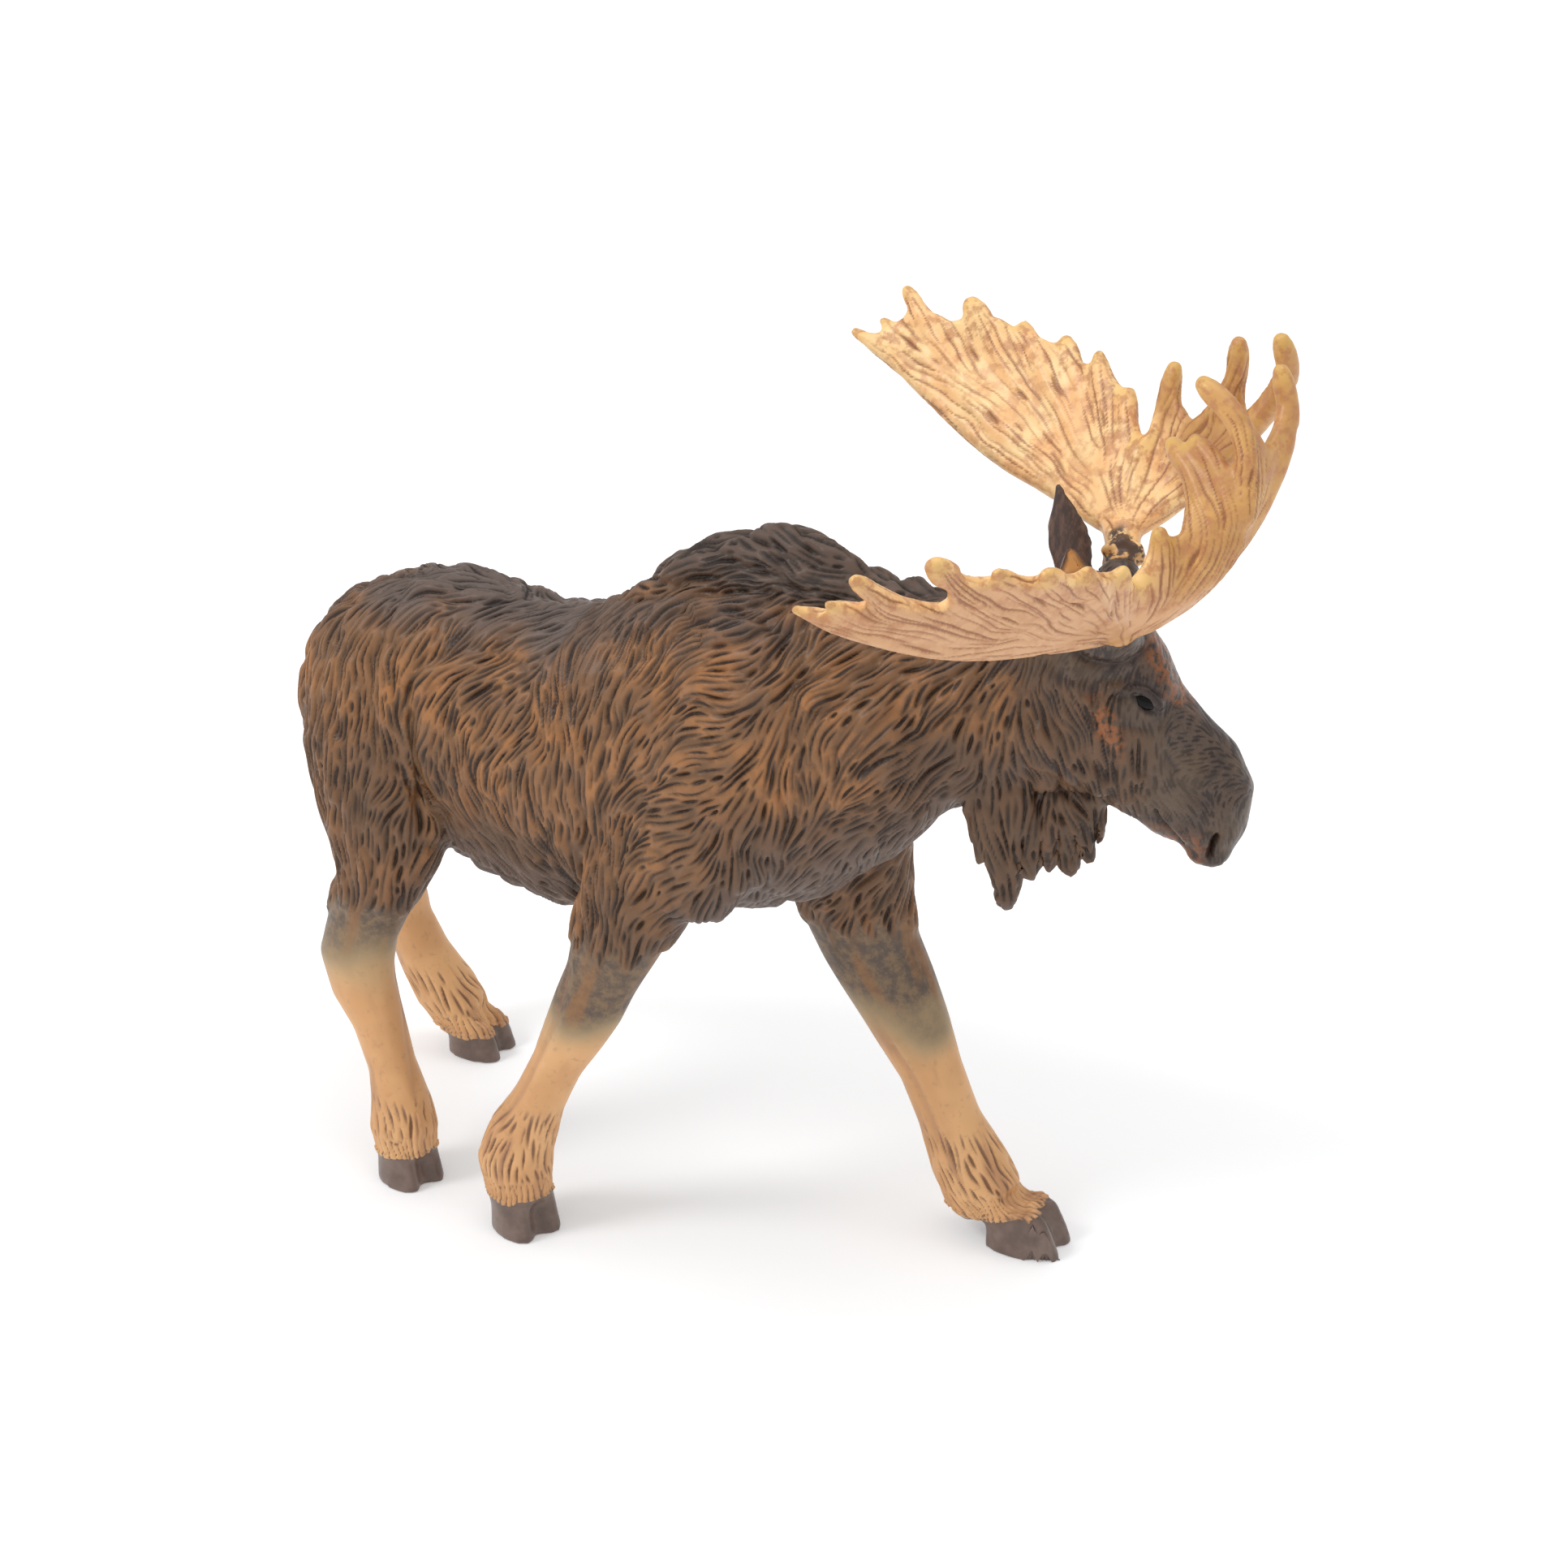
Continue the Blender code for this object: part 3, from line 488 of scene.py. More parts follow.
def ridged(points, wanted, lines, step, lone, near=16):
    """For every wanted point: the number of its strand, the share along it, and how near the point is to the
    groove halfway to the next strand, from 0 on the strand's line to 1 in the groove."""
    places, ways, shares, numbers = lines
    tree = search_tree(places)
    narrow = lone * (ROOT_NARROW * ease(0.25, 0.0, shares) + TIP_NARROW * ease(0.55, 1.0, shares))
    chosen = np.flatnonzero(wanted)
    found = np.array([[hit[1] for hit in tree.find_n(points[n], near)] for n in chosen])
    gap = points[chosen][:, None] - places[found]
    along = (gap * ways[found]).sum(2)
    across = np.linalg.norm(gap - along[..., None] * ways[found], axis=2)
    away = np.hypot(across, END_PULL * np.maximum(np.abs(along) - 0.6 * step, 0)) + narrow[found]
    row = np.arange(len(chosen))
    top = away.argmin(1)
    own = numbers[found[row, top]]
    first = away[row, top]
    other = np.where(numbers[found] == own[:, None], 9.0, away).min(1)
    out_number = np.full(len(points), -1)
    out_share = np.zeros(len(points))
    out_groove = np.ones(len(points))
    far = first > lone
    out_number[chosen] = np.where(far, -1, own)
    out_share[chosen] = shares[found[row, top]]
    between = 2 * first / (first + other)
    out_groove[chosen] = np.where(far, 1.0, np.maximum(between, ease(0.5 * lone, lone, first)))
    return out_number, out_share, out_groove


# Paint; a colour of three numbers is a display value from 0 to 255

def paint(red, green, blue):
    """A display colour as the linear one that a shader takes."""
    parts = [v / 255 for v in (red, green, blue)]
    return (*[v / 12.92 if v <= 0.04045 else ((v + 0.055) / 1.055) ** 2.4 for v in parts], 1.0)


class Nodes:
    """A material's node tree, built in few words."""

    def __init__(self, name, roughness=0.6):
        self.material = bpy.data.materials.new(name)
        self.material.use_nodes = True
        self.tree = self.material.node_tree
        self.tree.nodes.clear()
        self.shader = self.tree.nodes.new("ShaderNodeBsdfPrincipled")
        self.shader.inputs["Roughness"].default_value = roughness
        output = self.tree.nodes.new("ShaderNodeOutputMaterial")
        self.tree.links.new(self.shader.outputs[0], output.inputs[0])
        self.place = self.tree.nodes.new("ShaderNodeTexCoord").outputs["Object"]

    def put(self, socket, value):
        if hasattr(value, "links"):
            self.tree.links.new(value, socket)
        else:
            socket.default_value = paint(*value) if isinstance(value, tuple) and len(value) == 3 else value

    def mask(self, name):
        node = self.tree.nodes.new("ShaderNodeAttribute")
        node.attribute_name = name
        return node.outputs["Fac"]

    def times(self, a, b):
        return self.math("MULTIPLY", a, b)

    def mix(self, share, low, high):
        node = self.tree.nodes.new("ShaderNodeMix")
        node.data_type = "RGBA"
        self.put(node.inputs[0], share)
        self.put(node.inputs[6], low)
        self.put(node.inputs[7], high)
        return node.outputs[2]

    def math(self, kind, a, b):
        node = self.tree.nodes.new("ShaderNodeMath")
        node.operation = kind
        self.put(node.inputs[0], a)
        self.put(node.inputs[1], b)
        return node.outputs[0]

    def ramp(self, value, low, high, start=0.0, end=1.0):
        node = self.tree.nodes.new("ShaderNodeMapRange")
        node.interpolation_type = "SMOOTHSTEP"
        for socket, number in zip(node.inputs[:5], (value, low, high, start, end)):
            self.put(socket, number)
        return node.outputs[0]

    def noise(self, size, detail=3.0, rough=0.55, stretch=(1, 1, 1), offset=(0, 0, 0)):
        """Noise from 0 to 1 with lumps of the given size in mm."""
        mapping = self.tree.nodes.new("ShaderNodeMapping")
        self.tree.links.new(self.place, mapping.inputs["Vector"])
        mapping.inputs["Scale"].default_value = [1 / (size * MM * s) for s in stretch]
        mapping.inputs["Location"].default_value = offset
        node = self.tree.nodes.new("ShaderNodeTexNoise")
        self.tree.links.new(mapping.outputs[0], node.inputs["Vector"])
        node.inputs["Scale"].default_value = 1.0
        node.inputs["Detail"].default_value = detail
        node.inputs["Roughness"].default_value = rough
        return node.outputs[0]

    def bump(self, height, depth):
        node = self.tree.nodes.new("ShaderNodeBump")
        node.inputs["Distance"].default_value = depth * MM
        node.inputs["Strength"].default_value = 1.0
        self.put(node.inputs["Height"], height)
        self.tree.links.new(node.outputs[0], self.shader.inputs["Normal"])

    def colour(self, value):
        self.put(self.shader.inputs["Base Color"], value)


def fur_material():
    n = Nodes("painted_fur", 0.6)
    n.shader.inputs["Specular IOR Level"].default_value = 0.36
    speck = n.noise(0.35, 2.0)
    cloud = n.noise(9.0, 2.0)
    patch = n.noise(3.0, 3.0)
    fleck = n.noise(1.1, 3.0, offset=(5, 2, 1))
    ridge = n.math("ADD", n.mask("ridge"), n.times(n.math("SUBTRACT", fleck, 0.5), 0.3))
    groove = n.mix(n.mask("dark"), (60, 41, 29), (48, 37, 32))
    # the shade mask darkens grooves and tufts: darker paint on the neck, chest, thigh and head, and painted
    # shade where the body faces down
    groove = n.mix(n.times(n.mask("shade"), 0.8), groove, (50, 36, 28))
    tuft = n.mix(n.ramp(patch, 0.35, 0.65), (126, 87, 53), (148, 100, 59))
    tuft = n.mix(n.ramp(n.mask("tone"), 0.35, 0.65), tuft, (112, 79, 51))
    tuft = n.mix(n.times(n.ramp(cloud, 0.42, 0.62), 0.5), tuft, (108, 79, 54))
    light = n.mix(n.ramp(cloud, 0.4, 0.6), (176, 120, 72), (140, 100, 67))
    tuft = n.mix(n.times(n.ramp(ridge, 0.75, 1.1), 0.75), tuft, light)
    # painted shade where the body faces down, and darker paint on the neck, chest, thigh and head
    tuft = n.mix(n.times(n.mask("shade"), 0.8), tuft, (84, 63, 47))
    dusky = n.mix(n.ramp(ridge, 0.6, 1.1), (75, 60, 51), (97, 78, 67))
    tuft = n.mix(n.mask("dark"), tuft, dusky)
    tuft = n.mix(n.mask("grey"), tuft, (102, 87, 80))
    fur = n.mix(n.ramp(ridge, 0.15, 0.75), groove, tuft)
    skin = n.mix(n.ramp(speck, 0.3, 0.7), (78, 62, 54), (94, 76, 66))
    skin = n.mix(n.times(n.ramp(ridge, 0.6, 1.1), 0.45), skin, (98, 82, 68))
    skin = n.mix(n.times(n.ramp(patch, 0.48, 0.66), 0.55), skin, (60, 49, 45))
    skin = n.mix(n.ramp(ridge, 0.85, 0.45), skin, (52, 41, 36))
    skin = n.mix(n.times(n.ramp(cloud, 0.5, 0.62), 0.35), skin, (106, 84, 60))
    fur = n.mix(n.mask("face"), fur, skin)
    rust = n.mix(n.ramp(ridge, 0.1, 0.6), (84, 58, 44), (142, 86, 48))
    fur = n.mix(n.times(n.mask("rust"), n.ramp(fleck, 0.42, 0.58)), fur, rust)
    # painted shade in the carved creases, and dark painted lines along the lids, mouth and nostrils
    fur = n.mix(n.mask("crease_shade_and_lines"), fur, (52, 40, 36))
    tan = n.mix(n.ramp(cloud, 0.35, 0.65), (208, 156, 106), (222, 172, 120))
    streak = n.times(n.ramp(n.mask("streak"), 0.45, 0.9), 0.7)
    tan = n.mix(streak, tan, (178, 130, 94))
    tan = n.mix(n.times(n.ramp(fleck, 0.55, 0.75), 0.35), tan, (164, 128, 92))
    mottle = n.noise(1.6, 5.0, 0.75, offset=(2, 7, 3))
    shade = n.mix(n.ramp(mottle, 0.38, 0.62), (90, 77, 68), (128, 104, 78))
    shade = n.mix(n.times(n.ramp(n.mask("streak"), 0.5, 0.85), 0.55), shade, (146, 100, 58))
    shade = n.mix(n.ramp(n.mask("leg_shade"), 0.3, 0.75), (168, 144, 108), shade)
    tan = n.mix(n.ramp(n.mask("leg_shade"), 0.05, 0.5), tan, shade)
    low = n.times(n.math("SUBTRACT", 1.0, n.ramp(ridge, 0.1, 0.6)), n.mask("tuft"))
    tan = n.mix(low, tan, (146, 110, 84))
    tan = n.mix(n.times(n.mask("crease_shade_and_lines"), 0.6), tan, (160, 122, 98))
    fur = n.mix(n.mask("leg"), fur, tan)
    ear = n.mix(n.ramp(n.noise(0.9, 4.0, 0.65, (1, 1, 3)), 0.4, 0.7), (72, 57, 52), (112, 84, 70))
    ear = n.mix(n.mask("ear_inside"), ear, n.mix(n.ramp(patch, 0.4, 0.65), (212, 164, 104), (176, 128, 78)))
    fur = n.mix(n.mask("ear"), fur, ear)
    hoof = n.mix(n.ramp(patch, 0.3, 0.7), (102, 85, 77), (124, 105, 95))
    n.colour(n.mix(n.mask("hoof"), fur, hoof))
    satin = n.math("MAXIMUM", n.mask("hoof"), n.times(n.math("MAXIMUM", n.mask("face"), n.mask("ear")), 0.6))
    n.put(n.shader.inputs["Roughness"], n.ramp(satin, 0.0, 1.0, 0.44, 0.26))
    n.bump(n.noise(0.22, 2.0), 0.02)
    return n.material


def antler_material():
    n = Nodes("painted_antler", 0.36)
    n.shader.inputs["Specular IOR Level"].default_value = 0.45
    cloud = n.noise(5.0, 3.0)
    patch = n.noise(1.8, 4.0, 0.6, offset=(3, 1, 2))
    speck = n.noise(0.5, 2.0)
    cream = n.mix(n.ramp(cloud, 0.35, 0.65), (255, 214, 154), (248, 192, 132))
    ochre = n.mix(n.ramp(cloud, 0.35, 0.65), (214, 162, 96), (198, 146, 88))
    # painted shade: the faces that point outwards and down are painted a darker tan
    cream = n.mix(n.mask("outer_under_shade"), cream, (212, 162, 116))
    cream = n.mix(n.mask("ochre"), cream, ochre)
    cream = n.mix(n.times(n.mask("tip"), 0.5), cream, (228, 188, 104))
    wash = n.times(n.ramp(patch, 0.45, 0.61), n.mask("wash"))
    wash = n.times(wash, n.ramp(speck, 0.2, 0.6, 0.6, 1.0))
    cream = n.mix(n.times(wash, 0.75), cream, (188, 126, 84))
    cream = n.mix(n.mask("groove"), cream, (150, 96, 58))
    knob = n.times(n.mask("burr"), n.ramp(patch, 0.42, 0.52))
    n.colour(n.mix(knob, cream, (88, 66, 54)))
    n.bump(n.noise(0.3, 2.0), 0.02)
    return n.material


def eye_material():
    n = Nodes("eye_gloss", 0.12)
    depth = n.noise(0.8, 2.0)
    n.colour(n.mix(depth, (6, 6, 7), (20, 18, 18)))
    n.shader.inputs["Specular IOR Level"].default_value = 0.14
    return n.material


WORLD_LIGHT = 0.68
FLOOR_SIDE = 8
FLOOR_GLOW = 0.21  # the table in the photograph is burnt out to white


def floor_material():
    n = Nodes("white_table", 0.6)
    grain = n.noise(40.0, 2.0)
    n.colour(n.mix(grain, (0.92, 0.93, 0.94, 1), (0.94, 0.95, 0.96, 1)))
    n.shader.inputs["Specular IOR Level"].default_value = 0.2
    n.shader.inputs["Emission Color"].default_value = (1, 1, 1, 1)
    n.shader.inputs["Emission Strength"].default_value = FLOOR_GLOW
    return n.material


def add_floor():
    bpy.ops.mesh.primitive_plane_add(size=FLOOR_SIDE, location=(0, 0, 0))
    floor = bpy.context.object
    floor.name = "floor"
    floor.data.materials.append(floor_material())


def add_light(name, place, aim, size, power):
    data = bpy.data.lights.new(name, "AREA")
    data.shape = "DISK"
    data.size = size
    data.energy = power
    light = bpy.data.objects.new(name, data)
    light.location = place
    light.rotation_euler = (Vector(aim) - Vector(place)).to_track_quat("-Z", "Y").to_euler()
    bpy.context.scene.collection.objects.link(light)


def add_lights():
    world = bpy.data.worlds.new("studio")
    bpy.context.scene.world = world
    world.use_nodes = True
    world.node_tree.nodes["Background"].inputs[0].default_value = (1, 1, 1, 1)
    world.node_tree.nodes["Background"].inputs[1].default_value = WORLD_LIGHT
    add_light("key", (-0.6, -0.8, 1.1), (0, 0, 0.05), 0.45, 6.0)
    add_light("top", (0.1, 0.1, 1.3), (0, 0, 0.05), 1.0, 4.0)
    bpy.context.scene.view_settings.view_transform = "Standard"


# Carved lines on the skin: the part that mirrors them (head or body, own for a leg's), half width, depth
# (negative stands proud), how dark they're painted (painted shade in creases such as the pedicle's and below
# the jaw's fringe, dark painted lines such as the lids, mouth and nostrils), and the pixels of the
# photograph's frame along them
CARVED = [
    ("head", 0.6, 0.55, 0.7, [(1324, 802), (1339, 813), (1355, 818), (1370, 820), (1386, 818), (1398, 811),
                              (1411, 800)]),
    ("head", 2.0, 0.45, 0.0, [(1411, 866)]),
    ("head", 0.55, -0.75, 0.0, [(1390, 851), (1400, 849), (1411, 852), (1420, 860), (1427, 870)]),
    ("head", 2.6, -0.5, 0.0, [(1420, 800), (1428, 815), (1432, 832), (1430, 846)]),
    ("head", 0.38, -0.30, 0.0, [(1397, 862), (1404, 873), (1413, 880), (1424, 881)]),
    ("head", 0.42, 0.08, 1.0, [(1393, 853), (1402, 852), (1411, 854), (1419, 860), (1425, 869), (1422, 877),
                               (1413, 876), (1404, 869), (1393, 853)]),
    ("head", 0.40, 0.25, 0.7, [(1436, 925), (1441, 935), (1449, 948)]),
    ("head", 1.6, 0.20, 0.45, [(1472, 984), (1484, 990)]),
    ("head", 1.2, 0.15, 0.4, [(1470, 1012), (1478, 1018)]),
    ("head", 0.45, 0.30, 0.8, [(1372, 857), (1384, 848), (1398, 843), (1413, 846), (1424, 853)]),
    ("head", 0.40, 0.22, 0.6, [(1378, 861), (1388, 855), (1395, 855)]),
    ("head", 0.38, 0.25, 0.4, [(1424, 880), (1429, 887), (1429, 895)]),
    ("head", 0.50, 0.22, 0.15, [(1433, 928), (1439, 942), (1446, 956), (1449, 965)]),
    ("head", 0.9, 0.18, 0.0, [(1408, 944), (1418, 962), (1429, 980), (1441, 998)]),
    ("head", 0.42, 0.75, 0.9, [(1424, 1000), (1430, 1009), (1439, 1019), (1448, 1028), (1456, 1037)]),
    ("head", 0.7, -0.30, 0.0, [(1430, 1002), (1440, 1011), (1450, 1020), (1460, 1031)]),
    ("head", 0.45, 1.3, 1.0, [(1499, 1031), (1494, 1041), (1491, 1052), (1491, 1062)]),
    ("head", 0.55, -0.35, 0.0, [(1490, 1028), (1485, 1040), (1482, 1054), (1485, 1066)]),
    ("head", 0.50, -0.35, 0.0, [(1505, 1032), (1503, 1044), (1500, 1056)]),
    ("head", 1.5, -0.75, 0.0, [(1474, 1054), (1484, 1060), (1494, 1060), (1504, 1054)]),
    ("head", 0.7, 0.8, 0.5, [(1278, 980), (1296, 976), (1315, 976), (1338, 979), (1362, 980)]),
    ("head", 0.8, 0.7, 0.4, [(1276, 984), (1281, 998), (1283, 1012)]),
    ("head", 0.45, 0.7, 0.4, [(1255, 1072), (1257, 1060), (1259, 1046)]),
    ("head", 0.45, 0.7, 0.4, [(1283, 1060), (1283, 1048), (1283, 1036)]),
    ("head", 0.45, 0.7, 0.4, [(1303, 1054), (1303, 1044), (1302, 1034)]),
    ("head", 0.45, 0.7, 0.4, [(1329, 1048), (1327, 1040), (1325, 1030)]),
    ("body", 1.2, 0.9, 0.0, [(506, 850), (504, 880), (505, 910), (509, 940), (515, 965), (521, 985)]),
    ("body", 2.0, 1.2, 0.0, [(518, 985), (524, 998), (532, 1008)]),
    ("body", 1.0, 0.5, 0.0, [(720, 1000), (722, 1020), (722, 1040)]),
    ("own", 0.5, 0.28, 0.6, [(700, 1190), (694, 1225), (682, 1262), (662, 1305), (640, 1350), (618, 1380)]),
    ("own", 0.7, -0.2, 0.0, [(708, 1190), (703, 1228), (692, 1266), (672, 1310), (650, 1355)]),
    ("own", 0.6, 0.25, 0.5, [(1100, 1290), (1120, 1320), (1140, 1360), (1155, 1400)]),
    ("own", 0.7, -0.25, 0.0, [(1108, 1285), (1130, 1320), (1150, 1360), (1166, 1400)]),
    ("own", 0.6, 0.22, 0.4, [(487, 1195), (494, 1230), (500, 1270), (507, 1310), (513, 1350)]),
]

# The beard's lower edge: pixels of the photograph's frame just above it, and how far the edge moves up there
BEARD_LOCKS = [
    (1201, 1025, 0.0), (1206, 1031, -2.2), (1213, 1042, -0.5), (1217, 1068, 2.4), (1221, 1075, 1.0),
    (1226, 1084, 0.0), (1241, 1097, -0.7), (1251, 1092, 0.0), (1255, 1085, 2.5), (1264, 1077, 0.7),
    (1274, 1074, -0.4), (1281, 1071, 1.0), (1284, 1069, 1.8), (1292, 1062, -0.2), (1298, 1060, 1.2),
    (1304, 1057, 1.4), (1312, 1056, -0.3), (1319, 1059, -0.8), (1325, 1061, 0.3), (1329, 1061, 2.2),
    (1337, 1056, 1.1), (1343, 1046, -0.6), (1348, 1040, 1.5), (1354, 1030, 3.6), (1360, 1015, 3.0),
]


def beard_rise(points, tree):
    """How far every point moves up, which gives the beard's lower edge its locks."""
    seen = [(seen_place(tree, x, y), rise) for x, y, rise in BEARD_LOCKS]
    places = np.array([place for place, _ in seen if place is not None])
    rises = np.array([rise for place, rise in seen if place is not None])
    ahead, above, _ = head_place(places)
    order = np.argsort(ahead)
    a, v, w = head_place(points)
    edge = np.interp(a, ahead[order], above[order]) - 1.5
    rise = np.interp(a, ahead[order], rises[order], 0, 0)
    return rise * ease(edge + 6.0, edge, v) * (np.abs(w) < 8) * (v < -20)


def mirrored(places, plane):
    """Places on the other side of the head's or the body's middle."""
    if plane == "head":
        return places - 2 * ((places - HEAD_ORIGIN) @ HEAD_LEFT)[:, None] * HEAD_LEFT
    return places * (1, -1, 1) + (0, 2 * MIDLINE, 0)


def seen_place(tree, x, y):
    """Where the camera's ray through a pixel of the photograph's frame meets the surface."""
    hit, _, _, _ = tree.ray_cast(CAMERA_PLACE / MM, photo_ray(x, y))
    return None if hit is None else np.array(hit)


def carved(points, tree):
    """How far every point sinks for the carved lines, and how dark it is painted along them, from 0 to 1:
    painted shade in the creases and dark painted lines.
    """
    sink = np.zeros(len(points))
    groove = np.zeros(len(points))
    for plane, width, depth, darkness, pixels in CARVED:
        line = [seen_place(tree, x, y) for x, y in pixels]
        line = np.array([place for place in line if place is not None])
        if len(line) < min(2, len(pixels)):
            continue
        if len(line) > 1:
            line = spread(line, 0.25)
        for places in (line,) if plane == "own" else (line, mirrored(line, plane)):
            places = np.array([np.array(tree.find_nearest(place)[0]) for place in places])
            low, high = places.min(0) - 3 * width, places.max(0) + 3 * width
            near = np.flatnonzero(((points > low) & (points < high)).all(1))
            away = ((points[near][:, None] - places) ** 2).sum(2).min(1)
            bell = np.exp(-away / width**2)
            sink[near] += depth * bell
            groove[near] = np.maximum(groove[near], darkness * bell)
    return sink, groove


# The skin: fur, legs, hooves and head; lengths in millimetres

SOLE_HEIGHT = 0.02  # mm; nothing is lower, so the soles are flat
FUR_STEP = 0.35
STRAND_SPACING = 0.70
GROOVE_SPACING = 0.74
ROOT_NARROW = 0.11  # a strand's ends count as farther away than its middle, by these shares of the reach
TIP_NARROW = 0.32
END_PULL = 0.42  # distance beyond a strand's end counts by this share, which draws the end out to a point
STRAND_REACH = 1.1  # mm; beyond this from every strand the skin is bare
STRAND_HEIGHT = 0.46
STRAND_BED = 0.34  # how far the skin between the strands sinks
CLUMP_REACH = 3.5
CLUMP_STEP = 0.8
CLUMP_SPACING = 3.0
CLUMP_HEIGHT = 0.75
COAT_SWELL = 0.15
GROOVE_DEPTH = 0.42
HALO_DEPTH = 0.40  # depth of the wide hollow round a groove
# The middle line of each ear: heights, and how far forward it lies there
EAR_LEFT = ((-1.8, 2.0, 6.2, 9.4, 10.9), (-6.4, -6.6, -7.4, -8.5, -9.0))
EAR_RIGHT = ((-1.8, 2.4, 6.6, 9.8, 11.2), (-6.4, -6.2, -6.0, -6.4, -6.8))
HEAD_X = 45.0  # the head lies in front of this
EYE = (3.3, -12.65, 5.95)  # forward, up and sideways in the head's own frame
EYE_HALVES = (2.05, 1.0, 1.0)  # along the lids, across them, outwards


def leg_zones(points, edge, broad):
    """The masks of the legs: hooves, the hair over them, bare skin and its paint."""
    x, y, z = points.T
    number, away, _, local = nearest_leg(points)
    fur_edge, hair_top, heel_top, toe_top = np.array(list(LEG_HEIGHTS.values()))[number].T
    middle_x, middle_y, turn, length = np.array(list(HOOVES.values()))[number].T
    turn = np.radians(turn)
    toe = ((x - middle_x) * np.cos(turn) + (y - middle_y) * np.sin(turn)) / (length / 2)
    hoof_top = heel_top + (toe_top - heel_top) * np.clip(toe / 2 + 0.5, 0, 1)
    on_leg = (away < 14) * (x < HEAD_X) * (x > -85)
    lock = noise(local, 0.7, 43)
    hoof = ease(hoof_top + 0.15, hoof_top - 0.1, z + 0.2 * edge) * on_leg
    front_shade = ease(28, 46, z + 3 * broad + 4.5 * (number == 1))
    hind_shade = 0.85 * ease(25, 44, z + 3 * broad)
    return {
        "hoof": hoof,
        "near_hoof": (hoof > 0.5) & (z > hoof_top - 0.5 + 0.6 * edge),
        "cover": np.clip(ease(hair_top + 3.5, hair_top - 2, z) + (z > hair_top + 8), 0, 1),
        "bare": on_leg * ease(fur_edge + 0.4, fur_edge - 2.4, z + 2.0 * lock + broad)
        * ease(hair_top - 1.0, hair_top + 3.0, z + edge),
        "low": on_leg * ease(hoof_top + 3.4, hoof_top + 1.8, z),
        "tuft": on_leg * ease(hair_top + 3.0, hair_top, z),
        "leg": on_leg * ease(fur_edge + 1.0, fur_edge - 3.5, z + 2.5 * lock + 2 * broad),
        "leg_shade": np.where(number < 2, front_shade, hind_shade) * on_leg,
        "streak": 0.5 + 0.6 * noise(local, 1.7, 41) + 0.25 * noise(local, 0.5, 42),
    }


def head_zones(points, normals, edge, broad):
    """The masks of the head: short hair on the face, rust-coloured patches and the ears."""
    a, v, w = head_place(points)
    on_head, out = points[:, 0] > 40, np.abs(w)
    forehead = ease(0.5, 3.0, a + 0.3 * (v + 10) + 0.5 * edge) * ease(-20, -16, v)
    muzzle = ease(2.8, 6.8, a + 0.5 * np.maximum(-26 - v, 0) + 0.8 * edge) * ease(-14, -17, v)
    near_eye = ease(4.6, 2.6, np.sqrt((a - EYE[0]) ** 2 + (v - EYE[1]) ** 2))
    crown = ease(-12.0, -9.0, v + 0.8 * broad) * ease(-11, -6, a)
    strip = ease(3.6, 2.2, out - 1.7 * ease(-15.5, -12.5, v))
    strip = strip * ease(-17, -13, v) * ease(2.0, 4.0, a)
    cheek = ease(2.5, 0.8, np.hypot(a + 1.2 + 0.35 * (v + 15.5), (v + 15.5) / 2.4) + 0.4 * edge)
    lips = ease(-29.5, -33.5, v) * ease(13.0, 11.0, a) * ease(2.5, 4.5, a)
    near_ear = (a < -3) * (out > 5.5) * on_head
    ear = ease(-3.5, -2.5, v) * near_ear * (out > 6.0 - 0.1 * v)
    ear_middle = np.where(w > 0, np.interp(v, *EAR_LEFT), np.interp(v, *EAR_RIGHT))
    outward = (normals @ HEAD_LEFT) * np.sign(w) * 0.8 + (normals @ HEAD_AHEAD) * 0.6
    inside = ear * ease(0.1, 0.45, outward)
    return {
        "face": np.clip(np.maximum.reduce([muzzle, near_eye, crown, forehead]), 0, 1) * on_head,
        "rust": np.clip(0.8 * strip + cheek * (out > 4) + 0.6 * lips, 0, 1) * on_head,
        "ear": ear,
        "ear_inside": inside,
        "ear_hollow": 0.9 * inside * ease(-2, 1, v) * ease(11.5, 8.5, v),
        "ear_width": 0.5 * ease(-2.0, 3.0, v) * ease(10.0, 3.5, v) * near_ear * (a - ear_middle),
    }


def zones(points, normals):
    """The masks of the skin's areas, each from 0 to 1. The normals are those of the broad form."""
    x, _, z = points.T
    up = normals[:, 2]
    edge = 0.6 * noise(points, 1.6, 11) + 0.4 * noise(points, 0.8, 12)
    broad = noise(points, 6.0, 13)
    top = ease(0.5, 0.95, up + 0.25 * broad) * (z > 62)
    hump = ease(94.0, 101.0, z + 2.0 * broad) * (x < HEAD_X)
    rump = ease(82.0, 88.0, z + 2.5 * broad) * (x < -22)
    neck = ease(24, 34, x) * (0.2 + 0.8 * ease(91, 83, z + 2 * broad))
    # painted shade: the fur is darker where the body faces down
    under_shade = ease(0.15, -0.45, up + 0.15 * broad) * (z > 42)
    thigh = 0.6 * ease(-38, -44, x) * ease(74, 66, z + 2 * broad)
    chest = 0.6 * ease(68, 58, z + 2 * broad) * (x > -12)
    below = ease(-0.25, -0.75, up) * (z > 42) * (x < HEAD_X)
    return {
        **leg_zones(points, edge, broad),
        **head_zones(points, normals, edge, broad),
        "mane": ease(88, 95, z) * (x > -8) * (x < 42),
        "dark": np.clip(np.maximum.reduce([0.8 * top, hump, rump]), 0, 1),
        # shade: darker paint on the neck, thigh, chest and head, and painted shade under the body
        "shade": np.clip(np.maximum.reduce([neck, under_shade, thigh, chest, ease(40, 47, x)]), 0, 1),
        "grey": np.clip(0.8 * below + 0.7 * rump * ease(0.3, 0.9, up), 0, 1),
    }


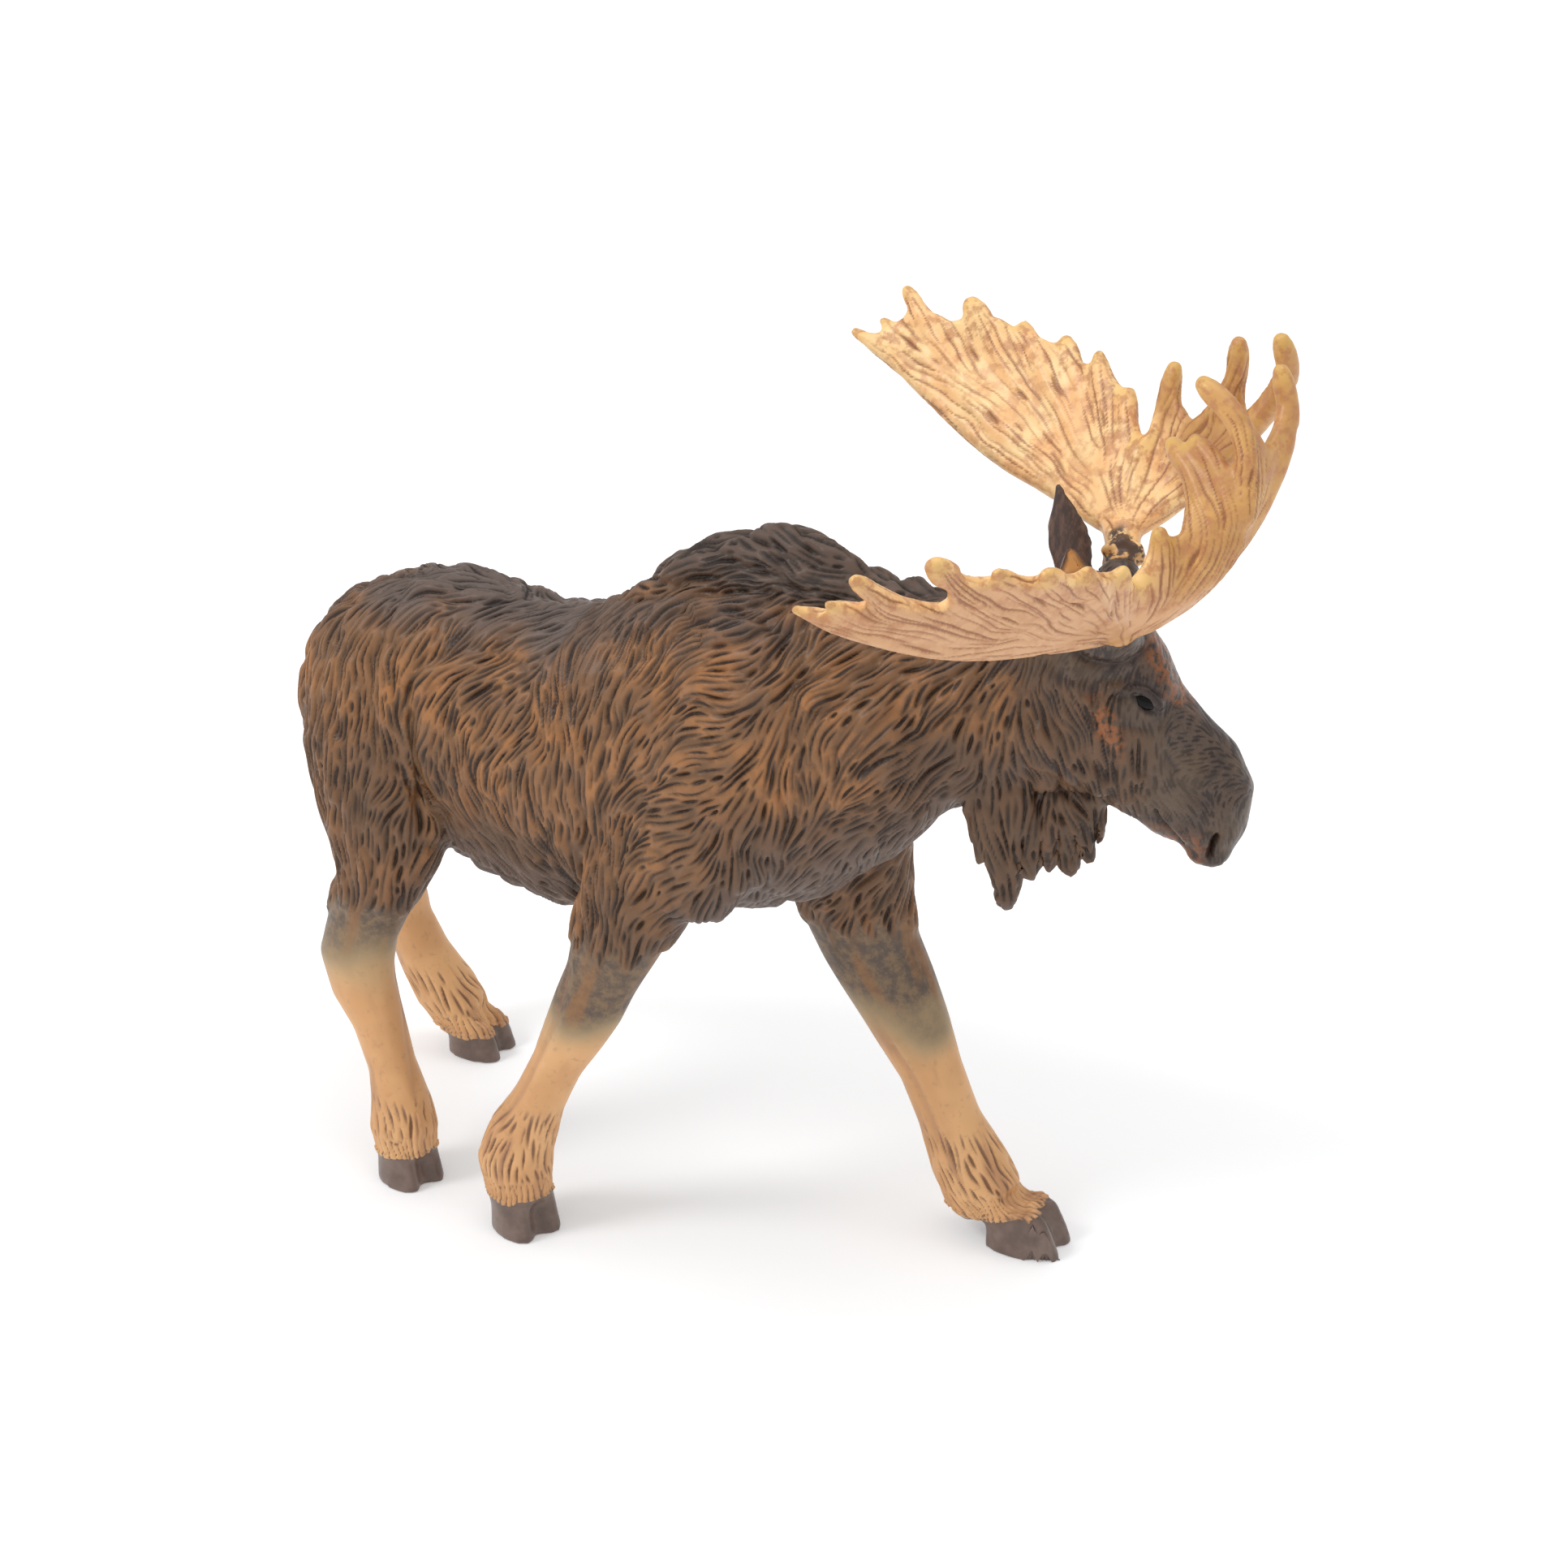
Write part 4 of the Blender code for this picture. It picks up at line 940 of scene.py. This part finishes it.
def build_skin():
    points, faces = skin_surface()
    pairs = side_pairs(faces)
    tree = BVHTree.FromPolygons(points.tolist(), faces.tolist())
    normals = normals_of(points, faces)
    zone = zones(points, unit(relaxed(normals, pairs, (0.9,) * 30)))
    sink, crease_shade_and_lines = carved(points, tree)
    points = points - normals * (sink + zone["ear_hollow"])[:, None]
    points += zone["ear_width"][:, None] * HEAD_AHEAD
    points[:, 2] += beard_rise(points, tree)
    tree = BVHTree.FromPolygons(points.tolist(), faces.tolist())
    normals = normals_of(points, faces)
    coat = (1 - zone["bare"]) * (1 - zone["hoof"]) * (1 - zone["ear"])
    face, low = zone["face"], zone["low"]
    ways = flow_at(Flow(tree), points, normals)
    corner = faces[:, 0]
    random = np.random.default_rng(5)

    wanted = ((coat > 0.02) | zone["near_hoof"]) & (low > 0)
    seeds = scattered(points, (coat > 0.3) & (low > 0), 0.4, 1)
    longest = 9.5 * random.uniform(0.55, 1.4, len(seeds))
    spacing = STRAND_SPACING * (1 + 0.15 * noise(points, 7.0, 21))
    lines, lengths, _ = combed(points, ways, corner, tree, seeds, wanted, spacing, 0.5, longest, FUR_STEP)
    heights = STRAND_HEIGHT * random.uniform(0.7, 1.15, len(lengths))
    strand, share, groove_share = ridged(points, wanted, lines, FUR_STEP, STRAND_REACH)
    cross = 1 - groove_share**2.4
    strand_lift = np.where(strand >= 0, heights[strand] * (0.7 + 0.3 * share), 0) * cross * zone["cover"]
    strand_lift -= STRAND_BED * coat * zone["cover"]
    zone["hoof"][zone["near_hoof"] & (cross > 0.15)] = 0

    wanted = (coat > 0.02) & (low < 1)
    seeds = scattered(points, (coat > 0.3) & (low < 1), 0.4, 3)
    spacing = GROOVE_SPACING * (1 - 0.25 * face - 0.14 * ease(36, 46, points[:, 0]))
    spacing = spacing * (1 + 0.3 * noise(points, 5.0, 22) + 0.2 * zone["tuft"])
    longest = (9.0 - 5.5 * face[seeds]) * random.uniform(0.35, 1.25, len(seeds))
    lines, lengths, roots = combed(points, ways, corner, tree, seeds, wanted, spacing, 0.6, longest, FUR_STEP)
    widths = random.uniform(0.20, 0.38, len(lengths))
    widths = widths * (1 - 0.2 * face[roots] + 0.12 * (points[roots, 0] > 42))
    depths = random.uniform(0.4, 1.0, len(lengths)) ** 0.8 * (1 - 0.3 * face[roots])
    depth, nearest = grooved(points, wanted, lines, FUR_STEP, lengths, widths, depths)
    halo = relaxed(depth, pairs, (0.5,) * 6)
    zone["tone"] = relaxed(random.uniform(0, 1, len(lengths))[nearest], pairs, (0.5,) * 8)

    clumps = scattered(points, (coat > 0.6) & (face < 0.3) & (zone["tuft"] < 0.5), 1.5, 2)
    furry = wanted & (face < 0.6)
    longest = 11.0 * random.uniform(0.6, 1.3, len(clumps))
    spacing = np.full(len(points), CLUMP_SPACING)
    lines, _, roots = combed(points, ways, corner, tree, clumps, furry, spacing, 0.5, longest, CLUMP_STEP)
    clump, _, parting = ridged(points, furry, lines, CLUMP_STEP, CLUMP_REACH, 8)
    clump_heights = CLUMP_HEIGHT * random.uniform(0.5, 1.2, len(roots)) * (1 + 0.8 * zone["mane"][roots])
    clump_rise = np.where(clump >= 0, clump_heights[clump], 0) * (1 - parting**2)
    body_lift = relaxed(clump_rise, pairs, (0.5,) * 6)
    sunk = GROOVE_DEPTH * depth + HALO_DEPTH * halo
    body_lift += coat * zone["cover"] * (COAT_SWELL - (1 - 0.7 * face) * sunk)
    body_ridge = np.clip(1 - depth - 0.5 * halo, 0, 1) * (1 - 0.3 * (1 - face) * parting**8)
    zone["ridge"] = body_ridge * (1 - low) + cross * low
    points = points + normals * (body_lift * (1 - low) + strand_lift * low)[:, None]
    points[:, 2] = np.maximum(points[:, 2], SOLE_HEIGHT)
    zone["crease_shade_and_lines"] = crease_shade_and_lines
    return points, faces, zone


def to_object(name, points, faces, masks, material):
    if faces.shape[1] == 4:
        faces = np.concatenate([faces[:, (0, 1, 2)], faces[:, (0, 2, 3)]])
    mesh = mesh_from(points, faces, name)
    for key, values in masks.items():
        attribute = mesh.attributes.new(key, "FLOAT", "POINT")
        attribute.data.foreach_set("value", np.asarray(values, np.float32))
    mesh.materials.append(material)
    piece = bpy.data.objects.new(name, mesh)
    bpy.context.scene.collection.objects.link(piece)
    mesh.shade_smooth()
    return piece


def thinned(piece, share):
    """The piece with fewer triangles, taken first where it's flat."""
    modifier = piece.modifiers.new("fewer", "DECIMATE")
    modifier.ratio = share
    depsgraph = bpy.context.evaluated_depsgraph_get()
    mesh = bpy.data.meshes.new_from_object(piece.evaluated_get(depsgraph))
    piece.modifiers.clear()
    old = piece.data
    piece.data = mesh
    bpy.data.meshes.remove(old)
    return piece


# Antlers: ribs from the hub to the tines' tips, in the head's own frame: forward, up, sideways

HUB = (-0.3, 2.0, 16.0)
MAIN_RIBS = [
    [(-4.0, 2.4, 19.8), (-9.4, 3.8, 25.4), (-15.2, 5.0, 30.4), (-21.0, 7.2, 35.8),
     (-26.6, 10.4, 41.0), (-32.0, 13.8, 45.2), (-38.2, 16.8, 47.5)],
    [(-4.0, 3.0, 20.2), (-9.4, 4.8, 26.2), (-15.4, 7.2, 32.0), (-21.6, 10.4, 38.0),
     (-27.4, 14.0, 43.6), (-34.3, 18.2, 48.6)],
    [(-3.9, 3.4, 20.5), (-9.5, 5.6, 26.8), (-15.5, 8.6, 33.0), (-21.6, 12.6, 39.4),
     (-26.6, 17.2, 45.0), (-31.0, 22.5, 49.4)],
    [(-3.4, 4.0, 21.0), (-7.8, 7.2, 28.0), (-12.8, 11.4, 34.6), (-17.6, 16.4, 40.4), (-22.0, 22.2, 45.0)],
    [(-2.6, 4.6, 20.9), (-5.9, 8.6, 27.9), (-9.9, 13.6, 34.4), (-14.8, 20.6, 42.0)],
    [(-1.8, 5.0, 20.6), (-3.8, 9.2, 26.9), (-6.2, 13.8, 32.8), (-9.0, 19.3, 39.4)],
    [(-1.0, 5.2, 20.2), (-1.9, 9.2, 25.2), (-2.9, 13.6, 29.8), (-4.4, 19.6, 34.4)],
    [(-0.4, 5.0, 19.8), (-0.4, 8.8, 23.6), (-0.2, 12.4, 26.4), (0.0, 16.5, 29.0)],
    [(0.4, 4.6, 19.2), (1.0, 7.0, 20.8), (1.5, 9.4, 22.0), (2.0, 11.6, 23.0)],
]
BROW_RIBS = {
    "antler_right": [
        [(1.4, 4.4, 18.6), (3.2, 7.6, 20.4), (4.6, 11.2, 21.0), (4.2, 17.2, 20.0)],
        [(2.6, 4.4, 18.0), (7.0, 8.6, 19.6), (10.4, 14.6, 18.6), (8.6, 20.4, 14.0), (5.1, 24.0, 8.5)],
        [(3.2, 4.2, 17.4), (8.6, 9.0, 18.8), (12.6, 16.2, 18.0), (11.6, 21.6, 14.6), (7.7, 25.1, 10.2)],
        [(3.8, 3.8, 16.8), (10.2, 9.6, 17.6), (14.4, 17.0, 17.4), (14.6, 23.6, 15.0),
         (13.2, 28.0, 12.0), (8.3, 31.9, 8.4)],
        [(4.2, 3.8, 16.2), (9.8, 8.6, 15.6), (14.3, 14.0, 13.8), (18.0, 20.0, 9.0),
         (19.6, 25.6, 4.6), (18.2, 32.2, 3.2)],
    ],
    "antler_left": [
        [(1.4, 4.6, 18.8), (3.0, 8.0, 21.4), (4.2, 12.2, 23.8), (5.9, 21.4, 26.0)],
        [(3.0, 4.6, 18.2), (7.6, 9.4, 19.8), (11.6, 16.0, 18.6), (13.4, 22.6, 16.0), (13.6, 29.2, 14.0)],
        [(4.0, 3.8, 16.6), (10.0, 9.6, 16.4), (15.0, 16.2, 13.8), (18.6, 23.2, 9.0),
         (19.6, 28.2, 5.8), (18.3, 33.4, 4.0)],
    ],
}
RIM_DROP = {"antler_right": (0.0, 0.2, 0.8, 0.2, 0.7, 0.6, 2.2, 1.2, 0.4), "antler_left": ()}
# Balls that join the antler's base to the head: forward, up, sideways, radius
ROOT_BALLS = [(0.0, -0.5, 9.2, 2.1), (0.0, -0.2, 10.2, 2.3)]
ANTLER_STEP = 0.3
ANTLER_SHARE = 0.75  # share of the triangles that stays
TINE_RADII = (1.05, 0.95, 1.35, 2.0, 1.35, 1.8, 1.4, 1.6, 1.3, 1.5, 1.55, 1.55, 1.6, 1.5)


def head_points(rows, side):
    """Points of the head's own frame, with side -1 for the right, in the figurine's frame."""
    rows = np.atleast_2d(np.array(rows, float))
    up = np.array((0.0, 0.0, 1.0))
    return HEAD_ORIGIN + rows[:, :1] * HEAD_AHEAD + rows[:, 1:2] * up + side * rows[:, 2:] * HEAD_LEFT


def spread(line, spacing):
    """The line through the points as a smooth curve, with points about the given distance apart."""
    line = np.concatenate([[2 * line[0] - line[1]], line, [2 * line[-1] - line[-2]]])
    dense = []
    for a, b, c, d in zip(line, line[1:], line[2:], line[3:]):
        for t in np.arange(0, 1, 0.1):
            dense.append(0.5 * (2 * b + (c - a) * t + (2 * a - 5 * b + 4 * c - d) * t**2
                                + (3 * b - a - 3 * c + d) * t**3))
    dense = np.array([*dense, line[-2]])
    run = np.concatenate([[0], np.cumsum(np.linalg.norm(np.diff(dense, axis=0), axis=1))])
    at = np.linspace(0, run[-1], max(3, int(run[-1] / spacing)))
    return np.stack([np.interp(at, run, dense[:, k]) for k in range(3)], 1)


def antler_lines(name):
    """The ribs' lines in the figurine's frame, from the hub out."""
    side = -1 if name == "antler_right" else 1
    lines = []
    for index, rib in enumerate(MAIN_RIBS + BROW_RIBS[name]):
        rows = np.array([HUB, *rib], float)
        drop = RIM_DROP[name][index] if index < len(RIM_DROP[name]) else 0.0
        rows[:, 1] -= drop * np.arange(len(rows)) / (len(rows) - 1)
        lines.append(spread(head_points(rows, side), 1.0))
    return lines


def ball(centre, radius, rows=8, around=12):
    """A ball's points and triangles."""
    points = [centre + (0, 0, radius)]
    for i in range(1, rows):
        for j in range(around):
            a, b = math.pi * i / rows, 2 * math.pi * j / around
            way = np.array((math.sin(a) * math.cos(b), math.sin(a) * math.sin(b), math.cos(a)))
            points.append(centre + radius * way)
    points.append(centre - (0, 0, radius))
    faces, last = [], len(points) - 1
    for j in range(around):
        k = (j + 1) % around
        faces.append((0, 1 + j, 1 + k))
        faces.append((last, last - 1 - j, last - 1 - k))
        for i in range(rows - 2):
            low, high = 1 + i * around, 1 + (i + 1) * around
            faces += [(low + j, high + j, high + k), (low + j, high + k, low + k)]
    return np.array(points), np.array(faces)


class RibFlow:
    """The direction along the nearest ribs, outwards."""

    def __init__(self, lines):
        self.places = np.concatenate([line[:-1] for line in lines])
        self.ways = np.concatenate([np.diff(line, axis=0) for line in lines])
        self.ways /= np.linalg.norm(self.ways, axis=1)[:, None]

    def __call__(self, points, normals):
        away = ((points[:, None] - self.places) ** 2).sum(2)
        weight = (away + 1.0) ** -2
        way = weight @ self.ways / weight.sum(1)[:, None]
        return laid_down(way, normals, 0.35 * noise(points, 3.5, 7) + 0.2 * noise(points, 1.5, 8))


def tine_balls(lines):
    """Balls that round off the ends of the ribs: flattened ones on the palm, round ones on the brow tines."""
    made = []
    for number, (line, radius) in enumerate(zip(lines, TINE_RADII)):
        way = line[-1] - line[-4]
        if number < len(MAIN_RIBS):
            other = lines[number + 1 if number + 1 < len(MAIN_RIBS) else number - 1]
            across = np.cross(way, other[-1] - line[-1])
            across /= np.linalg.norm(across)
            reach, flat = 4, 0.3
        else:
            across, reach, flat = np.array((0.0, 0.0, 1.0)), 8, 0.0
        for back in range(1, reach):
            size = radius * (0.74, 0.93, 1.0)[min(back, 3) - 1]
            points, faces = ball(np.zeros(3), size)
            points -= flat * (points @ across)[:, None] * across
            made.append((points + line[-1 - back], faces))
    return made


def away_from(points, places):
    """The distance from every point to the nearest place."""
    parts = [slice(n, n + CHUNK) for n in range(0, len(points), CHUNK)]
    return np.sqrt(np.concatenate([((points[part, None] - places) ** 2).sum(2).min(1) for part in parts]))


def antler_surface(name, lines):
    """The antler's closed surface, with its tines rounded and its base reaching into the head."""
    sign = -1 if name == "antler_right" else 1
    root = [ball(head_points([place], sign)[0], radius) for *place, radius in ROOT_BALLS]
    points, faces = remeshed(*joined([node_arrays(name), *root, *tine_balls(lines)]), 0.4)
    points = relaxed(points, side_pairs(faces), ROUND_OFF * 8)
    points, faces = remeshed(points, faces, 0.26)
    return relaxed(points, side_pairs(faces), ROUND_OFF * 3), faces


def build_antler(name, material, seed):
    lines = antler_lines(name)
    points, faces = antler_surface(name, lines)
    normals = normals_of(points, faces)
    tree = BVHTree.FromPolygons(points.tolist(), faces.tolist())
    ways = flow_at(RibFlow(lines), points, normals)
    a, v, w = head_place(points)
    w = np.abs(w)
    to_tip = away_from(points, np.array([line[-1] for line in lines]))
    random = np.random.default_rng(seed)
    everywhere = np.ones(len(points), bool)

    def combed_from(seeds, open_to, spacing, longest):
        return combed(points, ways, faces[:, 0], tree, seeds, open_to, spacing, 0.3, longest, ANTLER_STEP)

    seeds = scattered(points, (to_tip > 3) & (w > 12.5), 0.7, seed)
    longest = random.uniform(5, 28, len(seeds))
    spacing = np.clip(0.95 + 0.4 * noise(points, 6.0, seed), 0.6, 1.5)
    found, lengths, _ = combed_from(seeds, (to_tip > 1.6) & (w > 12), spacing, longest)
    widths, depths = random.uniform(0.18, 0.34, len(lengths)), random.uniform(0.5, 1.0, len(lengths))
    depth, _ = grooved(points, everywhere, found, ANTLER_STEP, lengths, widths, depths)
    seeds = scattered(points, (to_tip > 5) & (w > 17), 9.0, seed + 1)
    longest = random.uniform(2.5, 6.0, len(seeds))
    found, lengths, _ = combed_from(seeds, everywhere, np.full(len(points), 3.0), longest)
    widths, depths = random.uniform(0.3, 0.55, len(lengths)), np.full(len(lengths), 0.8)
    pit, _ = grooved(points, everywhere, found, ANTLER_STEP, lengths, widths, depths)
    low = (np.hypot(a, v) < 6) * 1.0
    burr = low * ease(13.2, 12.2, w + 0.8 * noise(points, 1.5, 9))
    points = points - normals * (0.2 * depth + 0.45 * pit)[:, None]
    points = points + normals * (0.4 * low * ease(13.5, 11.5, w) * noise(points, 1.1, 10))[:, None]
    halo = relaxed(np.maximum(depth, pit), side_pairs(faces), (0.5,) * 12)
    to_brow = away_from(points, np.concatenate(lines[len(MAIN_RIBS):]))
    to_palm = away_from(points, np.concatenate(lines[:len(MAIN_RIBS)]))
    # painted shade: the direction outwards and down, whose faces get a darker tan
    side = np.sign(head_place(points)[2])[:, None] * HEAD_LEFT * 0.6 - np.array((0, 0, 0.8))
    wash = 0.35 + 1.8 * halo + 0.7 * ease(9, 2, to_tip) + 0.8 * ease(20, 15, w)
    masks = {
        "groove": np.clip(0.9 * ease(0.2, 0.75, depth) + 0.8 * ease(0.15, 0.6, pit), 0, 1),
        "outer_under_shade": ease(0.0, 0.7, (normals * side).sum(1)),
        "wash": np.clip(wash, 0, 1),
        "ochre": np.maximum(ease(0.5, 4.0, to_palm - to_brow) * ease(6, 11, v),
                            0.8 * ease(2.5, 0.8, v) * ease(21, 18, w)),
        "tip": ease(3.5, 1.0, to_tip),
        "burr": burr,
    }
    piece = to_object(name + "_carved", points, faces, masks, material)
    thinned(piece, ANTLER_SHARE)
    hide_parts(name)
    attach(piece, "root")


PIECES = {
    "fur_rump": "body", "fur_barrel": "body", "fur_shoulders": "body", "fur_chest": "body",
    "fur_head": "head", "leg_front_right": "front_leg_right", "leg_front_left": "front_leg_left",
    "leg_hind_right": "hind_leg_right", "leg_hind_left": "hind_leg_left",
}
SKIN_MASKS = (
    "ridge", "tone", "dark", "grey", "face", "rust", "tuft", "leg", "leg_shade", "shade", "streak", "ear",
    "ear_inside", "hoof", "crease_shade_and_lines",
)
SKIN_SHARE = 0.69  # share of the triangles that stays
BODY_CUTS = (-36.0, -8.0, 14.0)
LEG_CUT = 45.0


def piece_numbers(places):
    """For every place the number of the piece that holds it, in the order of PIECES."""
    x, y, z = places.T
    number = np.searchsorted(BODY_CUTS, x)
    neck = (x - 23.56) * 0.93 + (y - 7.41) * 0.30 + (z - 85.0) * 0.10
    number[(neck > 0) & (z > 60)] = 4
    leg = z < LEG_CUT
    number[leg] = 5 + nearest_leg(places)[0][leg]
    return number


def split_skin(skin, material):
    """The skin as pieces that each replace a node; normals come from the whole, so no seam shows."""
    mesh = skin.data
    points, faces = places_of(mesh), read(mesh.polygons, "vertices", np.int32, 3)
    masks = {key: read(mesh.attributes[key].data, "value", np.float32) for key in SKIN_MASKS}
    normals = normals_of(points, faces)
    number = piece_numbers(points[faces].mean(1))
    bpy.data.objects.remove(skin)
    for index, (name, node) in enumerate(PIECES.items()):
        own = faces[number == index]
        used, local = np.unique(own, return_inverse=True)
        own_masks = {key: values[used] for key, values in masks.items()}
        piece = to_object(name, points[used], local.reshape(-1, 3), own_masks, material)
        piece.data.normals_split_custom_set_from_vertices(normals[used].tolist())
        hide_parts(node)
        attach(piece, "root")


def add_eyes(material):
    """Glossy almond eyes between the carved lids, slanting down towards the nose."""
    slant = math.radians(-36)
    for side, name in ((-1, "eye_right"), (1, "eye_left")):
        outward = HEAD_LEFT * side * 0.93 + HEAD_AHEAD * 0.36
        long_way = HEAD_AHEAD * math.cos(slant) + np.array((0, 0, math.sin(slant)))
        long_way -= outward * (long_way @ outward)
        long_way /= np.linalg.norm(long_way)
        axes = np.stack([long_way, np.cross(outward, long_way), outward])
        points, faces = ball(np.zeros(3), 1.0, 16, 28)
        points[:, 1] *= np.sqrt(1 - points[:, 0] ** 2)
        eye = to_object(name, head_points([EYE], side)[0] + points * EYE_HALVES @ axes, faces, {}, material)
        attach(eye, "root")


add_camera()
add_lights()
add_floor()
fur = fur_material()
points, faces, zone = build_skin()
skin = to_object("skin", points, faces, {key: zone[key] for key in SKIN_MASKS}, fur)
thinned(skin, SKIN_SHARE)
split_skin(skin, fur)
add_eyes(eye_material())
antler = antler_material()
build_antler("antler_right", antler, 21)
build_antler("antler_left", antler, 31)
